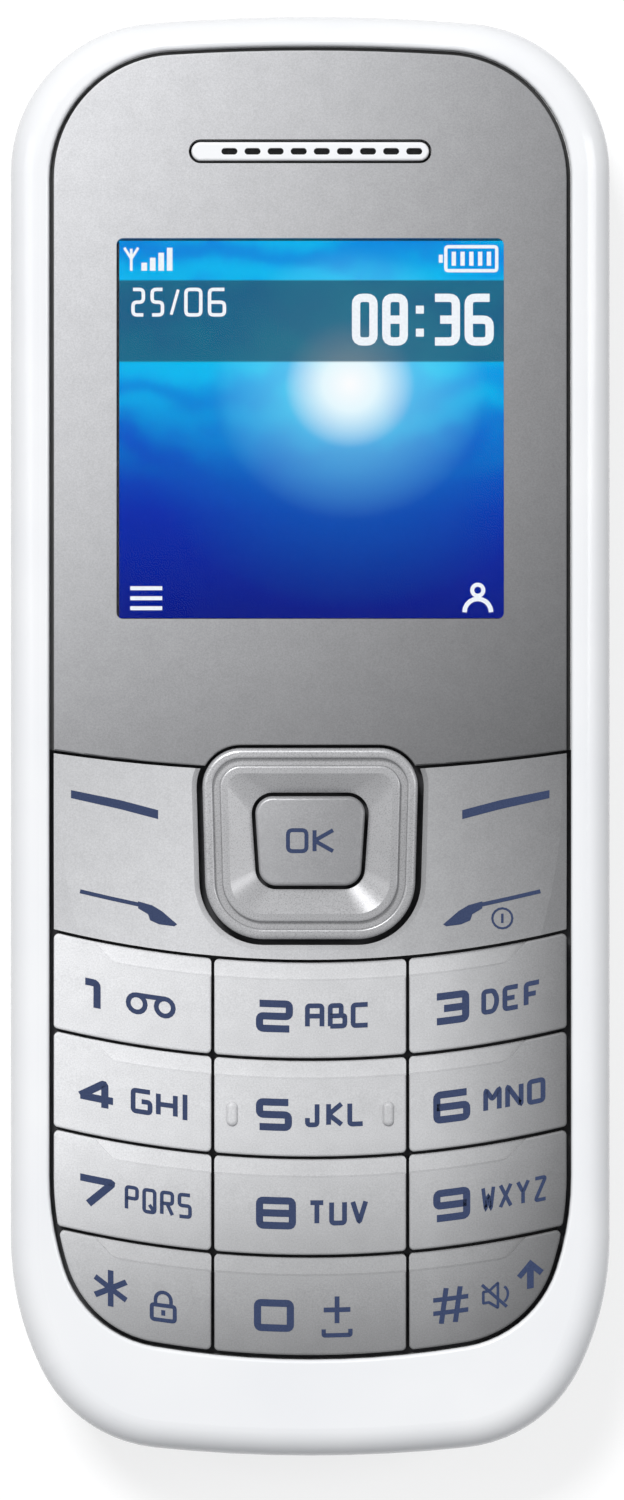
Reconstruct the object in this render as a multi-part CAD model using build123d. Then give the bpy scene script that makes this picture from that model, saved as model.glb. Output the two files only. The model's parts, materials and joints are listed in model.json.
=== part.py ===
from build123d import *

import os
from math import asin, cos, radians, sin

# A bar-shaped mobile phone with a small square display and a numeric keypad.
# All lengths are in millimetres and all angles in degrees.
# It lies on its back: the back is at z = 0, +Z comes out of the screen and +Y points to the earpiece.
# The origin is the middle of the outline, on the back face.

# Overall size
body_width = 45.0
body_length = 108.1
front_face_z = 13.0
parting_z = 6.5
parting_gap = 0.1
overrun = 5.0  # how far any cutting tool runs past what it cuts

# Outline of the body, seen from the front
top_corner_radius = 11.25
top_crown_angle = 4.94
shoulder_radius = 22.5
shoulder_angle = 26.0
bottom_corner_radius = 10.7
bottom_crown_angle = 6.0

# Opening in the front, which the silver panel and the keys fill
side_rim = 2.95
top_rim = 2.35
chin = 7.35
opening_top_radius = 9.6
opening_top_crown_angle = 3.6
opening_shoulder_radius = 22.5
opening_shoulder_angle = 18.0
opening_bottom_radius = 8.6
opening_bottom_crown_angle = 9.6
seam = 0.35  # the dark groove between the rim and what it holds
seam_round = 0.3

# Front housing
front_wall = 1.6
rim_round = 2.2
ceiling_z = 11.3
shelf_thickness = 0.8
shelf_setback = 0.5

# Rear housing
rear_wall = 1.1
rear_floor = 1.2
locating_lip_thickness = 0.6
locating_lip_height = 0.6
locating_lip_clearance = 0.1

# Battery cover
cover_wall = 1.0
cover_clearance = 0.15
back_round = 4.0
cover_split_margin = 25.05  # from the top end
cover_split_radius = 70.0
cover_split_gap = 0.2
rail_depth = 0.5
rail_height = 0.6
rail_clearance = 0.2
rail_z = 5.0
rail_length = 8.0
rail_count = 3
rail_end_margin = 26.05
rail_split_margin = 21.0
grip_length = 15.0
grip_width = 0.7
grip_depth = 0.3
grip_pitch = 1.6
grip_count = 5
grip_split_margin = 8.5

# Silver panel and display window
panel_thickness = 0.85
panel_edge_rise = 14.4  # above the number keys
panel_edge_radius = 132.0
panel_gap = 0.22
panel_round = 0.12
adhesive_thickness = 0.1
adhesive_inset = 0.4
adhesive_gap = 0.05  # to the wall round the panel, and to the dust mesh
window_side_margin = 8.05
window_top_margin = 16.81
window_panel_margin = 11.3
window_corner = 0.5
window_fit = 0.06
window_flange = 1.3
window_flange_thickness = 0.4
window_below_panel = 0.05
shelf_window_margin = 0.5

# Earpiece
earpiece_margin = 10.25
earpiece_slot_length = 18.2
earpiece_slot_width = 1.8
earpiece_gap = 0.2
grille_below_panel = 0.03
grille_round = 0.2
grille_hole_count = 9
grille_hole_pitch = 1.73
grille_hole_length = 1.2
grille_hole_width = 0.5
grille_hole_shift = 0.87
sound_slot_length = 13.0
sound_slot_width = 1.0
mesh_thickness = 0.1
receiver_length = 12.0
receiver_width = 6.6
receiver_height = 2.5
receiver_corner = 1.4
receiver_port_length = 6.0
receiver_port_depth = 0.3

# Number keys
key_gap = 0.24
row_top_margin = 37.19  # from the bottom end
row_pitch = 7.37
row_count = 4
row_radius = 82.0
column_line_x = 7.3
key_corner = 0.35
cap_bottom_z = 11.2
cap_top_z = 13.1
cap_slope = 0.22  # how much lower the upper edge of a key is than its lower edge
cap_bulge = 0.06
cap_round = 0.16
band_width = 1.35
band_depth = 0.36
band_step = 0.2
band_riser = 0.14
band_end_margin = 2.65
band_curl = 2.9
marker_x = 5.85
marker_length = 1.85
marker_width = 0.85
marker_height = 0.36
marker_round = 0.3
marker_below_row = 4.05

# Function plate round the navigation key
plate_top_z = 13.05
plate_hole_gap = 0.45
plate_hole_bevel = 0.35
plate_pad_thickness = 0.4
plate_pad_gap = 0.3
plate_pad_inset = 0.4
crease_radius = 40.8
crease_margin = 0.65
crease_rise = 13.46
crease_fall = 0.75
crease_run = 2.2

# Navigation ring and OK key
ring_half_width = 8.15
ring_foot_half_width = 7.75
ring_top_rise = 15.975
ring_bottom_rise = 1.66
ring_top_corner = 2.9
ring_bottom_corner = 4.4
ring_top_z = 13.5
ring_round = 0.35
ring_lip = 0.78
ring_lip_round = 0.2
ring_groove_width = 0.5
ring_groove_depth = 0.5
ring_ridge = 0.62
ring_ridge_drop = 0.08
ring_ridge_round = 0.2
ring_dish_floor_z = 12.5
ring_pad_thickness = 0.5
ring_pad_gap = 0.25
ring_pad_inset = 0.4
ok_half_width = 4.2
ok_foot_half_width = 3.75
ok_top_rise = 12.36
ok_bottom_rise = 5.66
ok_corner = 1.3
ok_gap = 0.28
ok_top_z = 13.2
ok_bulge_radius = 42.0
ok_round = 0.3

# Main board and what it carries
board_bottom_z = 7.75
board_thickness = 0.8
board_clearance = 0.35
film_thickness = 0.08
dome_radius = 2.0
dome_height = 0.25
dome_thickness = 0.07
nub_radius = 1.1
nub_clearance = 0.07
mat_thickness = 0.6
mat_overlap = 0.8
mat_skirt = 0.6
mat_boss_gap = 0.2
navigation_reach = 5.4
function_key_margin = 5.15
soft_key_rise = 11.66
call_key_rise = 4.26
can_height = 1.3
can_wall = 0.2
can_corner = 0.8
can_length = 15.0
can_side_margin = 7.5
radio_can_width = 9.0
can_spacing = 1.0
can_margin = 35.55
chip_height = 0.8
chip_margin = 1.25
chip_spacing = 1.5
radio_chip_side = 4.5

# Display module
module_side_margin = 2.05
module_end_margin = 3.0
module_drop = 0.14
module_wall = 0.6
module_depth = 1.75
module_floor = 0.25
module_corner = 0.6
module_fit = 0.1
backlight_thickness = 0.9
glass_thickness = 1.25
gasket_width = 1.1
flex_width = 12.0
flex_thickness = 0.15
flex_reach = 2.0

# Battery and its connector
battery_side_margin = 5.5
battery_end_margin = 10.65
battery_top_margin = 47.65
battery_thickness = 4.5
battery_round = 0.8
battery_corner = 1.6
battery_clearance = 0.15
well_roof = 0.6
terminal_width = 1.8
terminal_height = 2.4
terminal_pitch = 3.2
terminal_count = 3
terminal_depth = 0.15
connector_width = 11.0
connector_length = 2.2
connector_gap = 0.4
connector_clearance = 0.25
connector_bottom_z = 2.6
contact_width = 0.9
contact_height = 1.2
contact_reach = 0.35

# SIM card and its holder, under the battery
card_width = 25.0
card_length = 15.0
card_thickness = 0.76
card_notch = 3.0
card_clearance = 0.1
card_travel = 9.5
holder_wall = 0.25
holder_length = 9.0
holder_window_width = 15.0
holder_window_length = 5.0
holder_gap = 0.05
recess_margin = 2.4
recess_roof = 0.5

# Loudspeaker in the upper back
speaker_x = 3.0
speaker_margin = 16.05
speaker_radius = 7.4
speaker_height = 3.2
speaker_lip = 0.5
speaker_ring_wall = 0.7
speaker_ring_gap = 0.15
speaker_ring_height = 2.0
speaker_gasket_thickness = 0.3
speaker_gasket_width = 1.2
magnet_radius = 4.4
magnet_height = 0.9
sound_slots = 5
sound_slot_pitch = 1.7
back_slot_length = 8.6
back_slot_width = 0.9

# Vibration motor beside it
motor_side_margin = 7.7
motor_margin = 19.85
motor_length = 7.5
motor_radius = 2.0
sleeve_wall = 0.6
sleeve_length = 5.0
cradle_wall = 0.8
shaft_radius = 0.35
shaft_clearance = 0.05
shaft_length = 3.9
weight_radius = 1.85
weight_length = 3.0
weight_gap = 0.6

# Antenna at the top end
antenna_width = 24.0
antenna_depth = 3.4
antenna_margin = 5.45
antenna_carrier_height = 4.0
antenna_sheet = 0.2
antenna_slot_width = 0.8
antenna_slot_pitch = 3.8
antenna_slot_count = 5
antenna_slot_end = 0.8
antenna_finger_width = 1.0
antenna_finger_x = 6.0
antenna_finger_gap = 0.1

# Charging socket and microphone at the bottom edge
socket_width = 7.5
socket_depth = 5.0
socket_height = 2.5
socket_wall = 0.3
socket_corner = 0.9
socket_z = 9.2
socket_gap = 0.25
socket_recess = 0.45
socket_tab = 1.2
socket_tab_thickness = 0.3
tongue_width = 3.8
tongue_depth = 3.4
tongue_thickness = 0.6
tongue_root = 0.8
microphone_x = 9.5
microphone_width = 3.8
microphone_length = 2.9
microphone_height = 1.1
boot_wall = 0.6
boot_gap = 0.9
microphone_hole_radius = 0.45

# Screws and their bosses
screw_side_margin = 3.5
upper_screw_shift = 0.96
middle_screw_rise = 6.06
lower_screw_side_margin = 6.9
lower_screw_end_margin = 6.45
boss_radius = 1.7
screw_radius = 0.7
screw_hole_clearance = 0.05
screw_passage_radius = 0.85
screw_head_radius = 1.25
screw_head_height = 0.8
screw_head_clearance = 0.15
screw_seat_z = 5.0
screw_grip = 2.2
screw_slot_width = 0.35
screw_slot_depth = 0.4

# Heights and places worked out from the sizes above
top_end_y = body_length / 2
bottom_end_y = -body_length / 2
opening_half_width = body_width / 2 - side_rim
cover_split_y = top_end_y - cover_split_margin
rail_first_y = bottom_end_y + rail_end_margin
rail_pitch = (cover_split_y - rail_split_margin - rail_first_y) / (rail_count - 1)
grip_first_y = cover_split_y - grip_split_margin
row_top_y = bottom_end_y + row_top_margin
band_end_x = opening_half_width - band_end_margin
panel_edge_y = row_top_y + panel_edge_rise
crease_centre_x = crease_radius + crease_margin - opening_half_width
crease_centre_y = row_top_y + crease_rise
ring_top_y = row_top_y + ring_top_rise
ring_bottom_y = row_top_y + ring_bottom_rise
ok_top_y = row_top_y + ok_top_rise
ok_bottom_y = row_top_y + ok_bottom_rise
function_key_x = opening_half_width - function_key_margin
soft_key_y = row_top_y + soft_key_rise
call_key_y = row_top_y + call_key_rise
window_width = body_width - 2 * window_side_margin
window_top_y = top_end_y - window_top_margin
window_bottom_y = panel_edge_y + window_panel_margin
window_height = window_top_y - window_bottom_y
window_y = (window_top_y + window_bottom_y) / 2
earpiece_y = top_end_y - earpiece_margin
module_width = window_width + 2 * module_side_margin
module_length = window_height + 2 * module_end_margin
module_y = window_y - module_drop
main_can_width = body_width - 2 * can_side_margin - radio_can_width - can_spacing
can_y = top_end_y - can_margin
chip_side = (main_can_width - chip_spacing) / 2 - chip_margin
battery_width = body_width - 2 * battery_side_margin
battery_start_y = bottom_end_y + battery_end_margin
battery_end_y = top_end_y - battery_top_margin
battery_length = battery_end_y - battery_start_y
battery_y = (battery_start_y + battery_end_y) / 2
recess_end_y = battery_end_y - recess_margin
speaker_y = top_end_y - speaker_margin
motor_x = motor_side_margin - body_width / 2
motor_y = top_end_y - motor_margin
antenna_y = top_end_y - antenna_margin
upper_screw = (body_width / 2 - screw_side_margin, window_y + upper_screw_shift)
middle_screw = (body_width / 2 - screw_side_margin, panel_edge_y + middle_screw_rise)
lower_screw = (body_width / 2 - lower_screw_side_margin, bottom_end_y + lower_screw_end_margin)
shelf_top_z = ceiling_z + shelf_thickness
panel_bottom_z = shelf_top_z + adhesive_thickness
panel_top_z = panel_bottom_z + panel_thickness
board_top_z = board_bottom_z + board_thickness
film_top_z = board_top_z + film_thickness
nub_bottom_z = film_top_z + dome_height + nub_clearance
mat_bottom_z = cap_bottom_z - mat_thickness
chassis_inset = cover_wall + cover_clearance
chassis_bottom_z = cover_wall + cover_clearance
chassis_floor_z = chassis_bottom_z + rear_wall
battery_top_z = chassis_bottom_z + battery_thickness
well_roof_z = battery_top_z + battery_clearance
well_top_z = well_roof_z + well_roof
holder_bottom_z = well_roof_z + holder_gap
card_bottom_z = holder_bottom_z + holder_wall + card_clearance
recess_top_z = card_bottom_z + card_thickness + card_clearance
holder_width = card_width + 2 * (card_clearance + holder_wall)
recess_width = holder_width + 2 * holder_gap
recess_length = card_length + card_travel + holder_wall + 2 * card_clearance
glass_bottom_z = board_top_z + module_floor + backlight_thickness
glass_top_z = glass_bottom_z + glass_thickness
speaker_bottom_z = rear_floor + speaker_gasket_thickness
motor_z = rear_floor + sleeve_wall + motor_radius
ring_bottom_z = cap_bottom_z + ring_pad_thickness + ring_pad_gap
plate_bottom_z = cap_bottom_z + plate_pad_thickness + plate_pad_gap
ok_y = (ok_top_y + ok_bottom_y) / 2
microphone_y = bottom_end_y + front_wall + boot_gap + boot_wall + microphone_length / 2


class Outline:
    """The phone's outline: crowned ends, round corners and shoulders that draw in towards the bottom."""

    def __init__(self, half_width, top_y, bottom_y, top_radius, top_crown, shoulder, shoulder_turn,
                 bottom_radius, bottom_crown):
        self.half_width = half_width
        self.top_y = top_y
        self.bottom_y = bottom_y
        self.top_radius = top_radius
        self.top_crown = top_crown
        self.shoulder = shoulder
        self.shoulder_turn = shoulder_turn
        self.bottom_radius = bottom_radius
        self.bottom_crown = bottom_crown

    def inset(self, distance):
        """The same outline drawn in by a distance, or let out where it is negative."""
        return Outline(
            self.half_width - distance, self.top_y - distance, self.bottom_y + distance,
            self.top_radius - distance, self.top_crown, self.shoulder - distance, self.shoulder_turn,
            self.bottom_radius - distance, self.bottom_crown)

    def face(self):
        """The flat area inside the outline."""
        crown = radians(self.top_crown)
        turn = radians(self.shoulder_turn)
        base = radians(self.bottom_crown)
        top_crown_radius = (self.half_width - self.top_radius * (1 - sin(crown))) / sin(crown)
        drawn_in = self.shoulder * (1 - cos(turn)) + self.bottom_radius * (cos(turn) - sin(base))
        base_crown_radius = (self.half_width - drawn_in) / sin(base)
        side_end_y = (self.bottom_y + self.shoulder * sin(turn) + self.bottom_radius * (cos(base) - sin(turn))
                      + base_crown_radius * (1 - cos(base)))
        top = JernArc((0, self.top_y), (1, 0), top_crown_radius, -self.top_crown)
        corner = JernArc(top @ 1, top % 1, self.top_radius, self.top_crown - 90)
        side = Line(corner @ 1, (self.half_width, side_end_y))
        shoulder = JernArc(side @ 1, (0, -1), self.shoulder, -self.shoulder_turn)
        low_corner = JernArc(shoulder @ 1, shoulder % 1, self.bottom_radius,
                             self.shoulder_turn + self.bottom_crown - 90)
        base_arc = JernArc(low_corner @ 1, low_corner % 1, base_crown_radius, -self.bottom_crown)
        right = Curve() + [top, corner, side, shoulder, low_corner, base_arc]
        return make_face(right + mirror(right, Plane.YZ))


OUTER = Outline(
    body_width / 2, top_end_y, bottom_end_y, top_corner_radius, top_crown_angle, shoulder_radius,
    shoulder_angle, bottom_corner_radius, bottom_crown_angle)
OPENING = Outline(
    opening_half_width, top_end_y - top_rim, bottom_end_y + chin, opening_top_radius,
    opening_top_crown_angle, opening_shoulder_radius, opening_shoulder_angle, opening_bottom_radius,
    opening_bottom_crown_angle)


def prism(face, low, high):
    """A flat area drawn at z = 0, raised into a solid between two heights."""
    return extrude(Pos(0, 0, low) * face, amount=high - low, dir=(0, 0, 1))


def block(width, length, low, high, x=0, y=0, corner=0):
    """An upright block with its middle at x, y, and round upright edges if corner is given."""
    face = RectangleRounded(width, length, corner) if corner else Rectangle(width, length)
    return Pos(x, y) * prism(face, low, high)


def post(radius, low, high, x=0, y=0):
    """An upright round post."""
    return Pos(x, y) * prism(Circle(radius), low, high)


def tube(outer, inner, low, high, x=0, y=0):
    """An upright round tube."""
    return post(outer, low, high, x, y) - post(inner, low - overrun, high + overrun, x, y)


def slot(length, width, low, high, x=0, y=0):
    """An upright block with round ends, long in X."""
    return Pos(x, y) * prism(SlotOverall(length, width), low, high)


def level_rod(radius, start_y, end_y, x, z):
    """A round rod along Y."""
    return Pos(x, (start_y + end_y) / 2, z) * Rot(90, 0, 0) * Cylinder(radius, end_y - start_y)


def level_bar(face, start_y, end_y, x, z):
    """A bar along Y whose section is the face, drawn with X to the right and Z up."""
    plane = Plane((x, end_y, z), x_dir=(1, 0, 0), z_dir=(0, -1, 0))
    return extrude(plane * face, amount=end_y - start_y)


def top_face(solid):
    """The largest of the faces that look up."""
    upper = [face for face in solid.faces() if face.normal_at(face.center()).Z > 0.9]
    return max(upper, key=lambda face: face.area)


def highest_face(solid):
    """The highest flat face."""
    return solid.faces().sort_by(Axis.Z)[-1]


def lowest_face(solid):
    """The lowest flat face."""
    return solid.faces().sort_by(Axis.Z)[0]


def rounded_area(face, radius):
    """A flat area with all its outward corners rounded."""
    return offset(offset(face, -radius), radius)


def arc_disc(y, radius, shift):
    """The area above a shallow arc that dips to y at the middle, with the arc moved down by shift."""
    return Pos(0, y + radius) * Circle(radius + shift)


def row_line(row):
    """How low the gap above a row of number keys dips, at the middle."""
    return row_top_y - row * row_pitch


def screw_points():
    """The places of the six screws."""
    return [(side * x, y) for x, y in (upper_screw, middle_screw, lower_screw) for side in (-1, 1)]


def narrowing_square(top_half, foot_half, top_y, bottom_y, top_corner, bottom_corner, grow):
    """A rounded square that narrows towards the bottom, let out all round by grow."""
    corners = [(-top_half, top_y), (top_half, top_y), (foot_half, bottom_y), (-foot_half, bottom_y)]
    area = make_face(Polyline(*corners, close=True))
    area = fillet(area.vertices().group_by(Axis.Y)[-1], top_corner)
    area = fillet(area.vertices().group_by(Axis.Y)[0], bottom_corner)
    return offset(area, grow) if grow else area


def ring_area(grow=0):
    """The navigation ring's outline."""
    return narrowing_square(ring_half_width, ring_foot_half_width, ring_top_y, ring_bottom_y, ring_top_corner,
                            ring_bottom_corner, grow)


def ok_area(grow=0):
    """The OK key's outline."""
    return narrowing_square(ok_half_width, ok_foot_half_width, ok_top_y, ok_bottom_y, ok_corner, ok_corner,
                            grow)


def panel_area(gap, ring_gap):
    """The silver panel's area, drawn in by gap, with a notch round the navigation ring."""
    area = OPENING.inset(gap).face() & arc_disc(panel_edge_y, panel_edge_radius, 0)
    return area - ring_area(ring_gap)


def plate_area(inset):
    """The U-shaped function plate's area, drawn in by inset."""
    area = OPENING.inset(seam + inset).face() - arc_disc(panel_edge_y, panel_edge_radius, panel_gap + inset)
    area &= arc_disc(row_top_y, row_radius, -key_gap / 2 - inset)
    return area - ring_area(plate_hole_gap + inset)


def keypad_area(grow):
    """The area of the whole keypad below the silver panel, let out by grow."""
    area = OPENING.inset(-grow).face() - arc_disc(panel_edge_y, panel_edge_radius, -grow)
    return area + ring_area(grow)


def edge_hole(face, x, z):
    """A tool that cuts a hole of that section through the bottom wall of the front shell."""
    return level_bar(face, OUTER.bottom_y - overrun, OUTER.bottom_y + 2 * front_wall, x, z)


def front_housing():
    """The white front shell: a rounded rim and chin, a shelf for the panel, and bosses for the screws."""
    shell = prism(OUTER.face(), parting_z + parting_gap, front_face_z)
    shell = fillet(highest_face(shell).edges(), rim_round)
    shell -= prism(OUTER.inset(front_wall).face(), parting_z - overrun, ceiling_z)
    for x, y in screw_points():
        shell += tube(boss_radius, screw_radius + screw_hole_clearance, board_top_z, ceiling_z, x, y)
    shell -= prism(OPENING.face(), shelf_top_z, front_face_z + overrun)
    shell = fillet(highest_face(shell).inner_wires()[0].edges(), seam_round)
    shell -= prism(keypad_area(0) + ring_area(shelf_setback), ceiling_z - overrun, front_face_z)
    shell -= block(window_width + 2 * shelf_window_margin, window_height + 2 * shelf_window_margin,
                   ceiling_z - overrun, shelf_top_z + overrun, 0, window_y, window_corner)
    shell -= slot(sound_slot_length, sound_slot_width, ceiling_z - overrun, front_face_z, 0, earpiece_y)
    socket_hole = RectangleRounded(socket_width + 2 * socket_gap, socket_height + 2 * socket_gap,
                                   socket_corner + socket_gap)
    shell -= edge_hole(socket_hole, 0, socket_z)
    shell -= edge_hole(Circle(microphone_hole_radius), microphone_x, socket_z)
    return shell


def back_shape(inset, low, edge_round):
    """The rounded back half of the phone, drawn in by inset, from height low to the parting line."""
    solid = prism(OUTER.inset(inset).face(), low, parting_z)
    return fillet(lowest_face(solid).edges(), edge_round)


def cover_area(grow=0):
    """Everything on the cover's side of the arc across the back, with the arc moved up by grow."""
    return Pos(0, cover_split_y - cover_split_radius) * Circle(cover_split_radius + grow)


def battery_cover():
    """The sliding back cover, with its guide rails inside and grooves for a thumb outside."""
    cover = back_shape(0, 0, back_round) - back_shape(cover_wall, cover_wall, back_round - cover_wall)
    cover &= prism(cover_area(-cover_split_gap), -overrun, parting_z + overrun)
    for number in range(rail_count):
        for side in (-1, 1):
            rail_x = side * (OUTER.half_width - cover_wall)
            cover += block(2 * rail_depth, rail_length, rail_z, rail_z + rail_height, rail_x,
                           rail_first_y + number * rail_pitch)
    for number in range(grip_count):
        cover -= slot(grip_length, grip_width, -overrun, grip_depth, 0, grip_first_y - number * grip_pitch)
    return cover


def sim_recess(grow, low, high):
    """The recess in the battery well's roof for the SIM card and its travel, let out by grow."""
    middle_y = recess_end_y - recess_length / 2
    return block(recess_width + 2 * grow, recess_length + 2 * grow, low, high, 0, middle_y)


def battery_well(grow, low, high):
    """The battery's space with its clearance, let out by grow."""
    room = 2 * (battery_clearance + grow)
    return block(battery_width + room, battery_length + room, low, high, 0, battery_y, battery_corner)


def rear_housing():
    """The rear shell: the upper back with the loudspeaker slots, and a chassis with the battery well."""
    shell = back_shape(chassis_inset, chassis_bottom_z, back_round - chassis_inset)
    shell += back_shape(0, 0, back_round) - prism(cover_area(), -overrun, parting_z + overrun)
    inner = OUTER.inset(chassis_inset + rear_wall).face()
    lower_space = prism(inner & cover_area(), chassis_floor_z, parting_z + overrun)
    lower_space -= battery_well(rear_wall, -overrun, well_top_z)
    upper_space = prism(inner - cover_area(rear_wall), rear_floor, parting_z + overrun)
    shell -= lower_space + upper_space
    lip_outer = OUTER.inset(front_wall + locating_lip_clearance)
    lip = lip_outer.face() - lip_outer.inset(locating_lip_thickness).face()
    shell += prism(lip, parting_z - locating_lip_height, parting_z + parting_gap + locating_lip_height)
    shell += sim_recess(recess_roof, well_roof_z, recess_top_z + recess_roof)
    for x, y in screw_points():
        shell += post(boss_radius, chassis_bottom_z + back_round / 2, board_bottom_z, x, y)
    shell -= battery_well(0, -overrun, well_roof_z)
    shell -= sim_recess(0, -overrun, recess_top_z)
    shell -= block(connector_width + 2 * connector_clearance, connector_length + 2 * connector_clearance
                   + battery_clearance, connector_bottom_z - connector_clearance, board_bottom_z + overrun, 0,
                   connector_y() - battery_clearance / 2)
    for x, y in screw_points():
        shell -= post(screw_passage_radius, -overrun, board_bottom_z + overrun, x, y)
        shell -= post(screw_head_radius + screw_head_clearance, -overrun, screw_seat_z, x, y)
    groove_end_y = rail_first_y + (rail_count - 1) * rail_pitch + rail_length / 2 + rail_clearance
    groove_x = OUTER.half_width - chassis_inset
    for side in (-1, 1):
        shell -= block(2 * rail_depth, body_length, rail_z - rail_clearance,
                       rail_z + rail_height + rail_clearance, side * groove_x, groove_end_y - body_length / 2)
    shell += speaker_ring() + motor_cradle()
    for number in range(sound_slots):
        slot_y = speaker_y + (number - (sound_slots - 1) / 2) * sound_slot_pitch
        shell -= slot(back_slot_length, back_slot_width, -overrun, rear_floor, speaker_x, slot_y)
    return shell


def connector_y():
    """The middle of the battery connector, just past the end of the battery."""
    return battery_end_y + connector_gap + connector_length / 2


def speaker_ring():
    """The low wall on the rear floor that holds the loudspeaker."""
    inner = speaker_radius + speaker_ring_gap
    return tube(inner + speaker_ring_wall, inner, rear_floor, rear_floor + speaker_ring_height, speaker_x,
                speaker_y)


def motor_cradle():
    """Two low walls on the rear floor, with the sleeve of the motor between them."""
    wall_x = motor_radius + sleeve_wall + cradle_wall / 2
    walls = [block(cradle_wall, sleeve_length, rear_floor, motor_z, motor_x + side * wall_x, motor_y)
             for side in (-1, 1)]
    return walls[0] + walls[1]


def front_panel():
    """The silver panel, with a stepped window hole and a slot for the earpiece grille."""
    panel = prism(panel_area(seam, panel_gap), panel_bottom_z, panel_top_z)
    panel = fillet(highest_face(panel).outer_wire().edges(), panel_round)
    room = 2 * (window_flange + window_fit)
    panel -= block(window_width + 2 * window_fit, window_height + 2 * window_fit, panel_bottom_z - overrun,
                   panel_top_z + overrun, 0, window_y, window_corner)
    panel -= block(window_width + room, window_height + room, panel_bottom_z - overrun,
                   panel_bottom_z + window_flange_thickness, 0, window_y, window_corner + window_flange)
    panel -= slot(earpiece_slot_length, earpiece_slot_width, panel_bottom_z - overrun, panel_top_z + overrun, 0,
                  earpiece_y)
    return panel


def display_window():
    """The clear pane, with a thin flange that lies under the panel."""
    pane = block(window_width, window_height, panel_bottom_z, panel_top_z - window_below_panel, 0, window_y,
                 window_corner)
    flange = block(window_width + 2 * window_flange, window_height + 2 * window_flange, panel_bottom_z,
                   panel_bottom_z + window_flange_thickness, 0, window_y, window_corner + window_flange)
    return pane + flange


def panel_adhesive():
    """The sheet of adhesive between the panel and the shelf of the front housing."""
    sheet = prism(panel_area(adhesive_gap, shelf_setback + adhesive_inset), shelf_top_z, panel_bottom_z)
    sheet -= prism(keypad_area(0), shelf_top_z - overrun, panel_bottom_z + overrun)
    sheet -= block(window_width + 2 * shelf_window_margin, window_height + 2 * shelf_window_margin,
                   shelf_top_z - overrun, panel_bottom_z + overrun, 0, window_y, window_corner)
    sheet -= slot(earpiece_slot_length, earpiece_slot_width, shelf_top_z - overrun, panel_bottom_z + overrun, 0,
                  earpiece_y)
    return sheet


def earpiece_grille():
    """The small pill in the panel, with a row of short slots set a little to the right."""
    length = earpiece_slot_length - 2 * earpiece_gap
    width = earpiece_slot_width - 2 * earpiece_gap
    grille = slot(length, width, panel_bottom_z, panel_top_z - grille_below_panel, 0, earpiece_y)
    grille = fillet(highest_face(grille).edges(), grille_round)
    for number in range(grille_hole_count):
        hole_x = grille_hole_shift + (number - (grille_hole_count - 1) / 2) * grille_hole_pitch
        grille -= slot(grille_hole_length, grille_hole_width, panel_bottom_z - overrun, panel_top_z + overrun,
                       hole_x, earpiece_y)
    return grille


def earpiece_mesh():
    """The dust mesh between the grille and the shelf, as large as the slot in the adhesive lets it be."""
    room = 2 * adhesive_gap
    return slot(earpiece_slot_length - room, earpiece_slot_width - room, shelf_top_z, panel_bottom_z, 0,
                earpiece_y)


def earpiece_receiver():
    """The small loudspeaker behind the grille, pressed against the ceiling of the front housing."""
    receiver = block(receiver_length, receiver_width, ceiling_z - receiver_height, ceiling_z, 0, earpiece_y,
                     receiver_corner)
    return receiver - slot(receiver_port_length, sound_slot_width, ceiling_z - receiver_port_depth,
                           ceiling_z + overrun, 0, earpiece_y)


def turned_about_row(profile, row):
    """A section drawn with the distance from the row's arc centre to the right, turned round that centre."""
    solid = revolve(Plane.XZ * profile, Axis.Z)
    return Pos(0, row_line(row) + row_radius) * solid


def key_area(row, column):
    """The outline of a number key: columns are -1, 0 and 1 from the left."""
    area = OPENING.inset(seam).face() - arc_disc(row_line(row), row_radius, key_gap / 2)
    if row < row_count - 1:
        area &= arc_disc(row_line(row + 1), row_radius, -key_gap / 2)
    line = column_line_x
    if column == 0:
        area &= Rectangle(2 * line - key_gap, 2 * body_length)
    else:
        area &= Pos(column * (line + key_gap / 2 + body_width / 2)) * Rectangle(body_width, 2 * body_length)
    return rounded_area(area, key_corner)


def key_top(row):
    """What lies under the face of a row of keys, which rises a little towards the lower edge."""
    start = row_radius - key_gap
    end = row_radius + row_pitch
    high_z = cap_top_z
    low_z = high_z - cap_slope
    far = end + row_pitch
    middle = ((start + end) / 2, (low_z + high_z) / 2 + cap_bulge)
    outline = Curve() + [
        ThreePointArc((start, low_z), middle, (end, high_z)), Line((end, high_z), (far, high_z)),
        Line((far, high_z), (far, cap_bottom_z)), Line((far, cap_bottom_z), (start, cap_bottom_z)),
        Line((start, cap_bottom_z), (start, low_z))]
    return turned_about_row(make_face(outline), row)


def band_area(row):
    """The scooped band along the upper edge of a row, which runs out into the edge in an S at each end."""
    centre_y = row_line(row) + row_radius
    line_radius = row_radius + key_gap / 2 + band_width
    turn = asin((band_end_x - band_curl) / line_radius)
    end_turn = asin(band_end_x / row_radius)
    start = Vector(line_radius * sin(turn), centre_y - line_radius * cos(turn))
    end = Vector(row_radius * sin(end_turn), centre_y - row_radius * cos(end_turn))
    low = ThreePointArc((-start.X, start.Y), (0, centre_y - line_radius), (start.X, start.Y))
    curl = Spline(start, end, tangents=[(cos(turn), sin(turn)), (cos(end_turn), sin(end_turn))])
    high = Vector(end.X, end.Y + row_pitch)
    right = Curve() + [curl, Line(end, high), Line(high, (0, high.Y))]
    return make_face(Curve() + [low] + right.edges() + mirror(right, Plane.YZ).edges())


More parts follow.
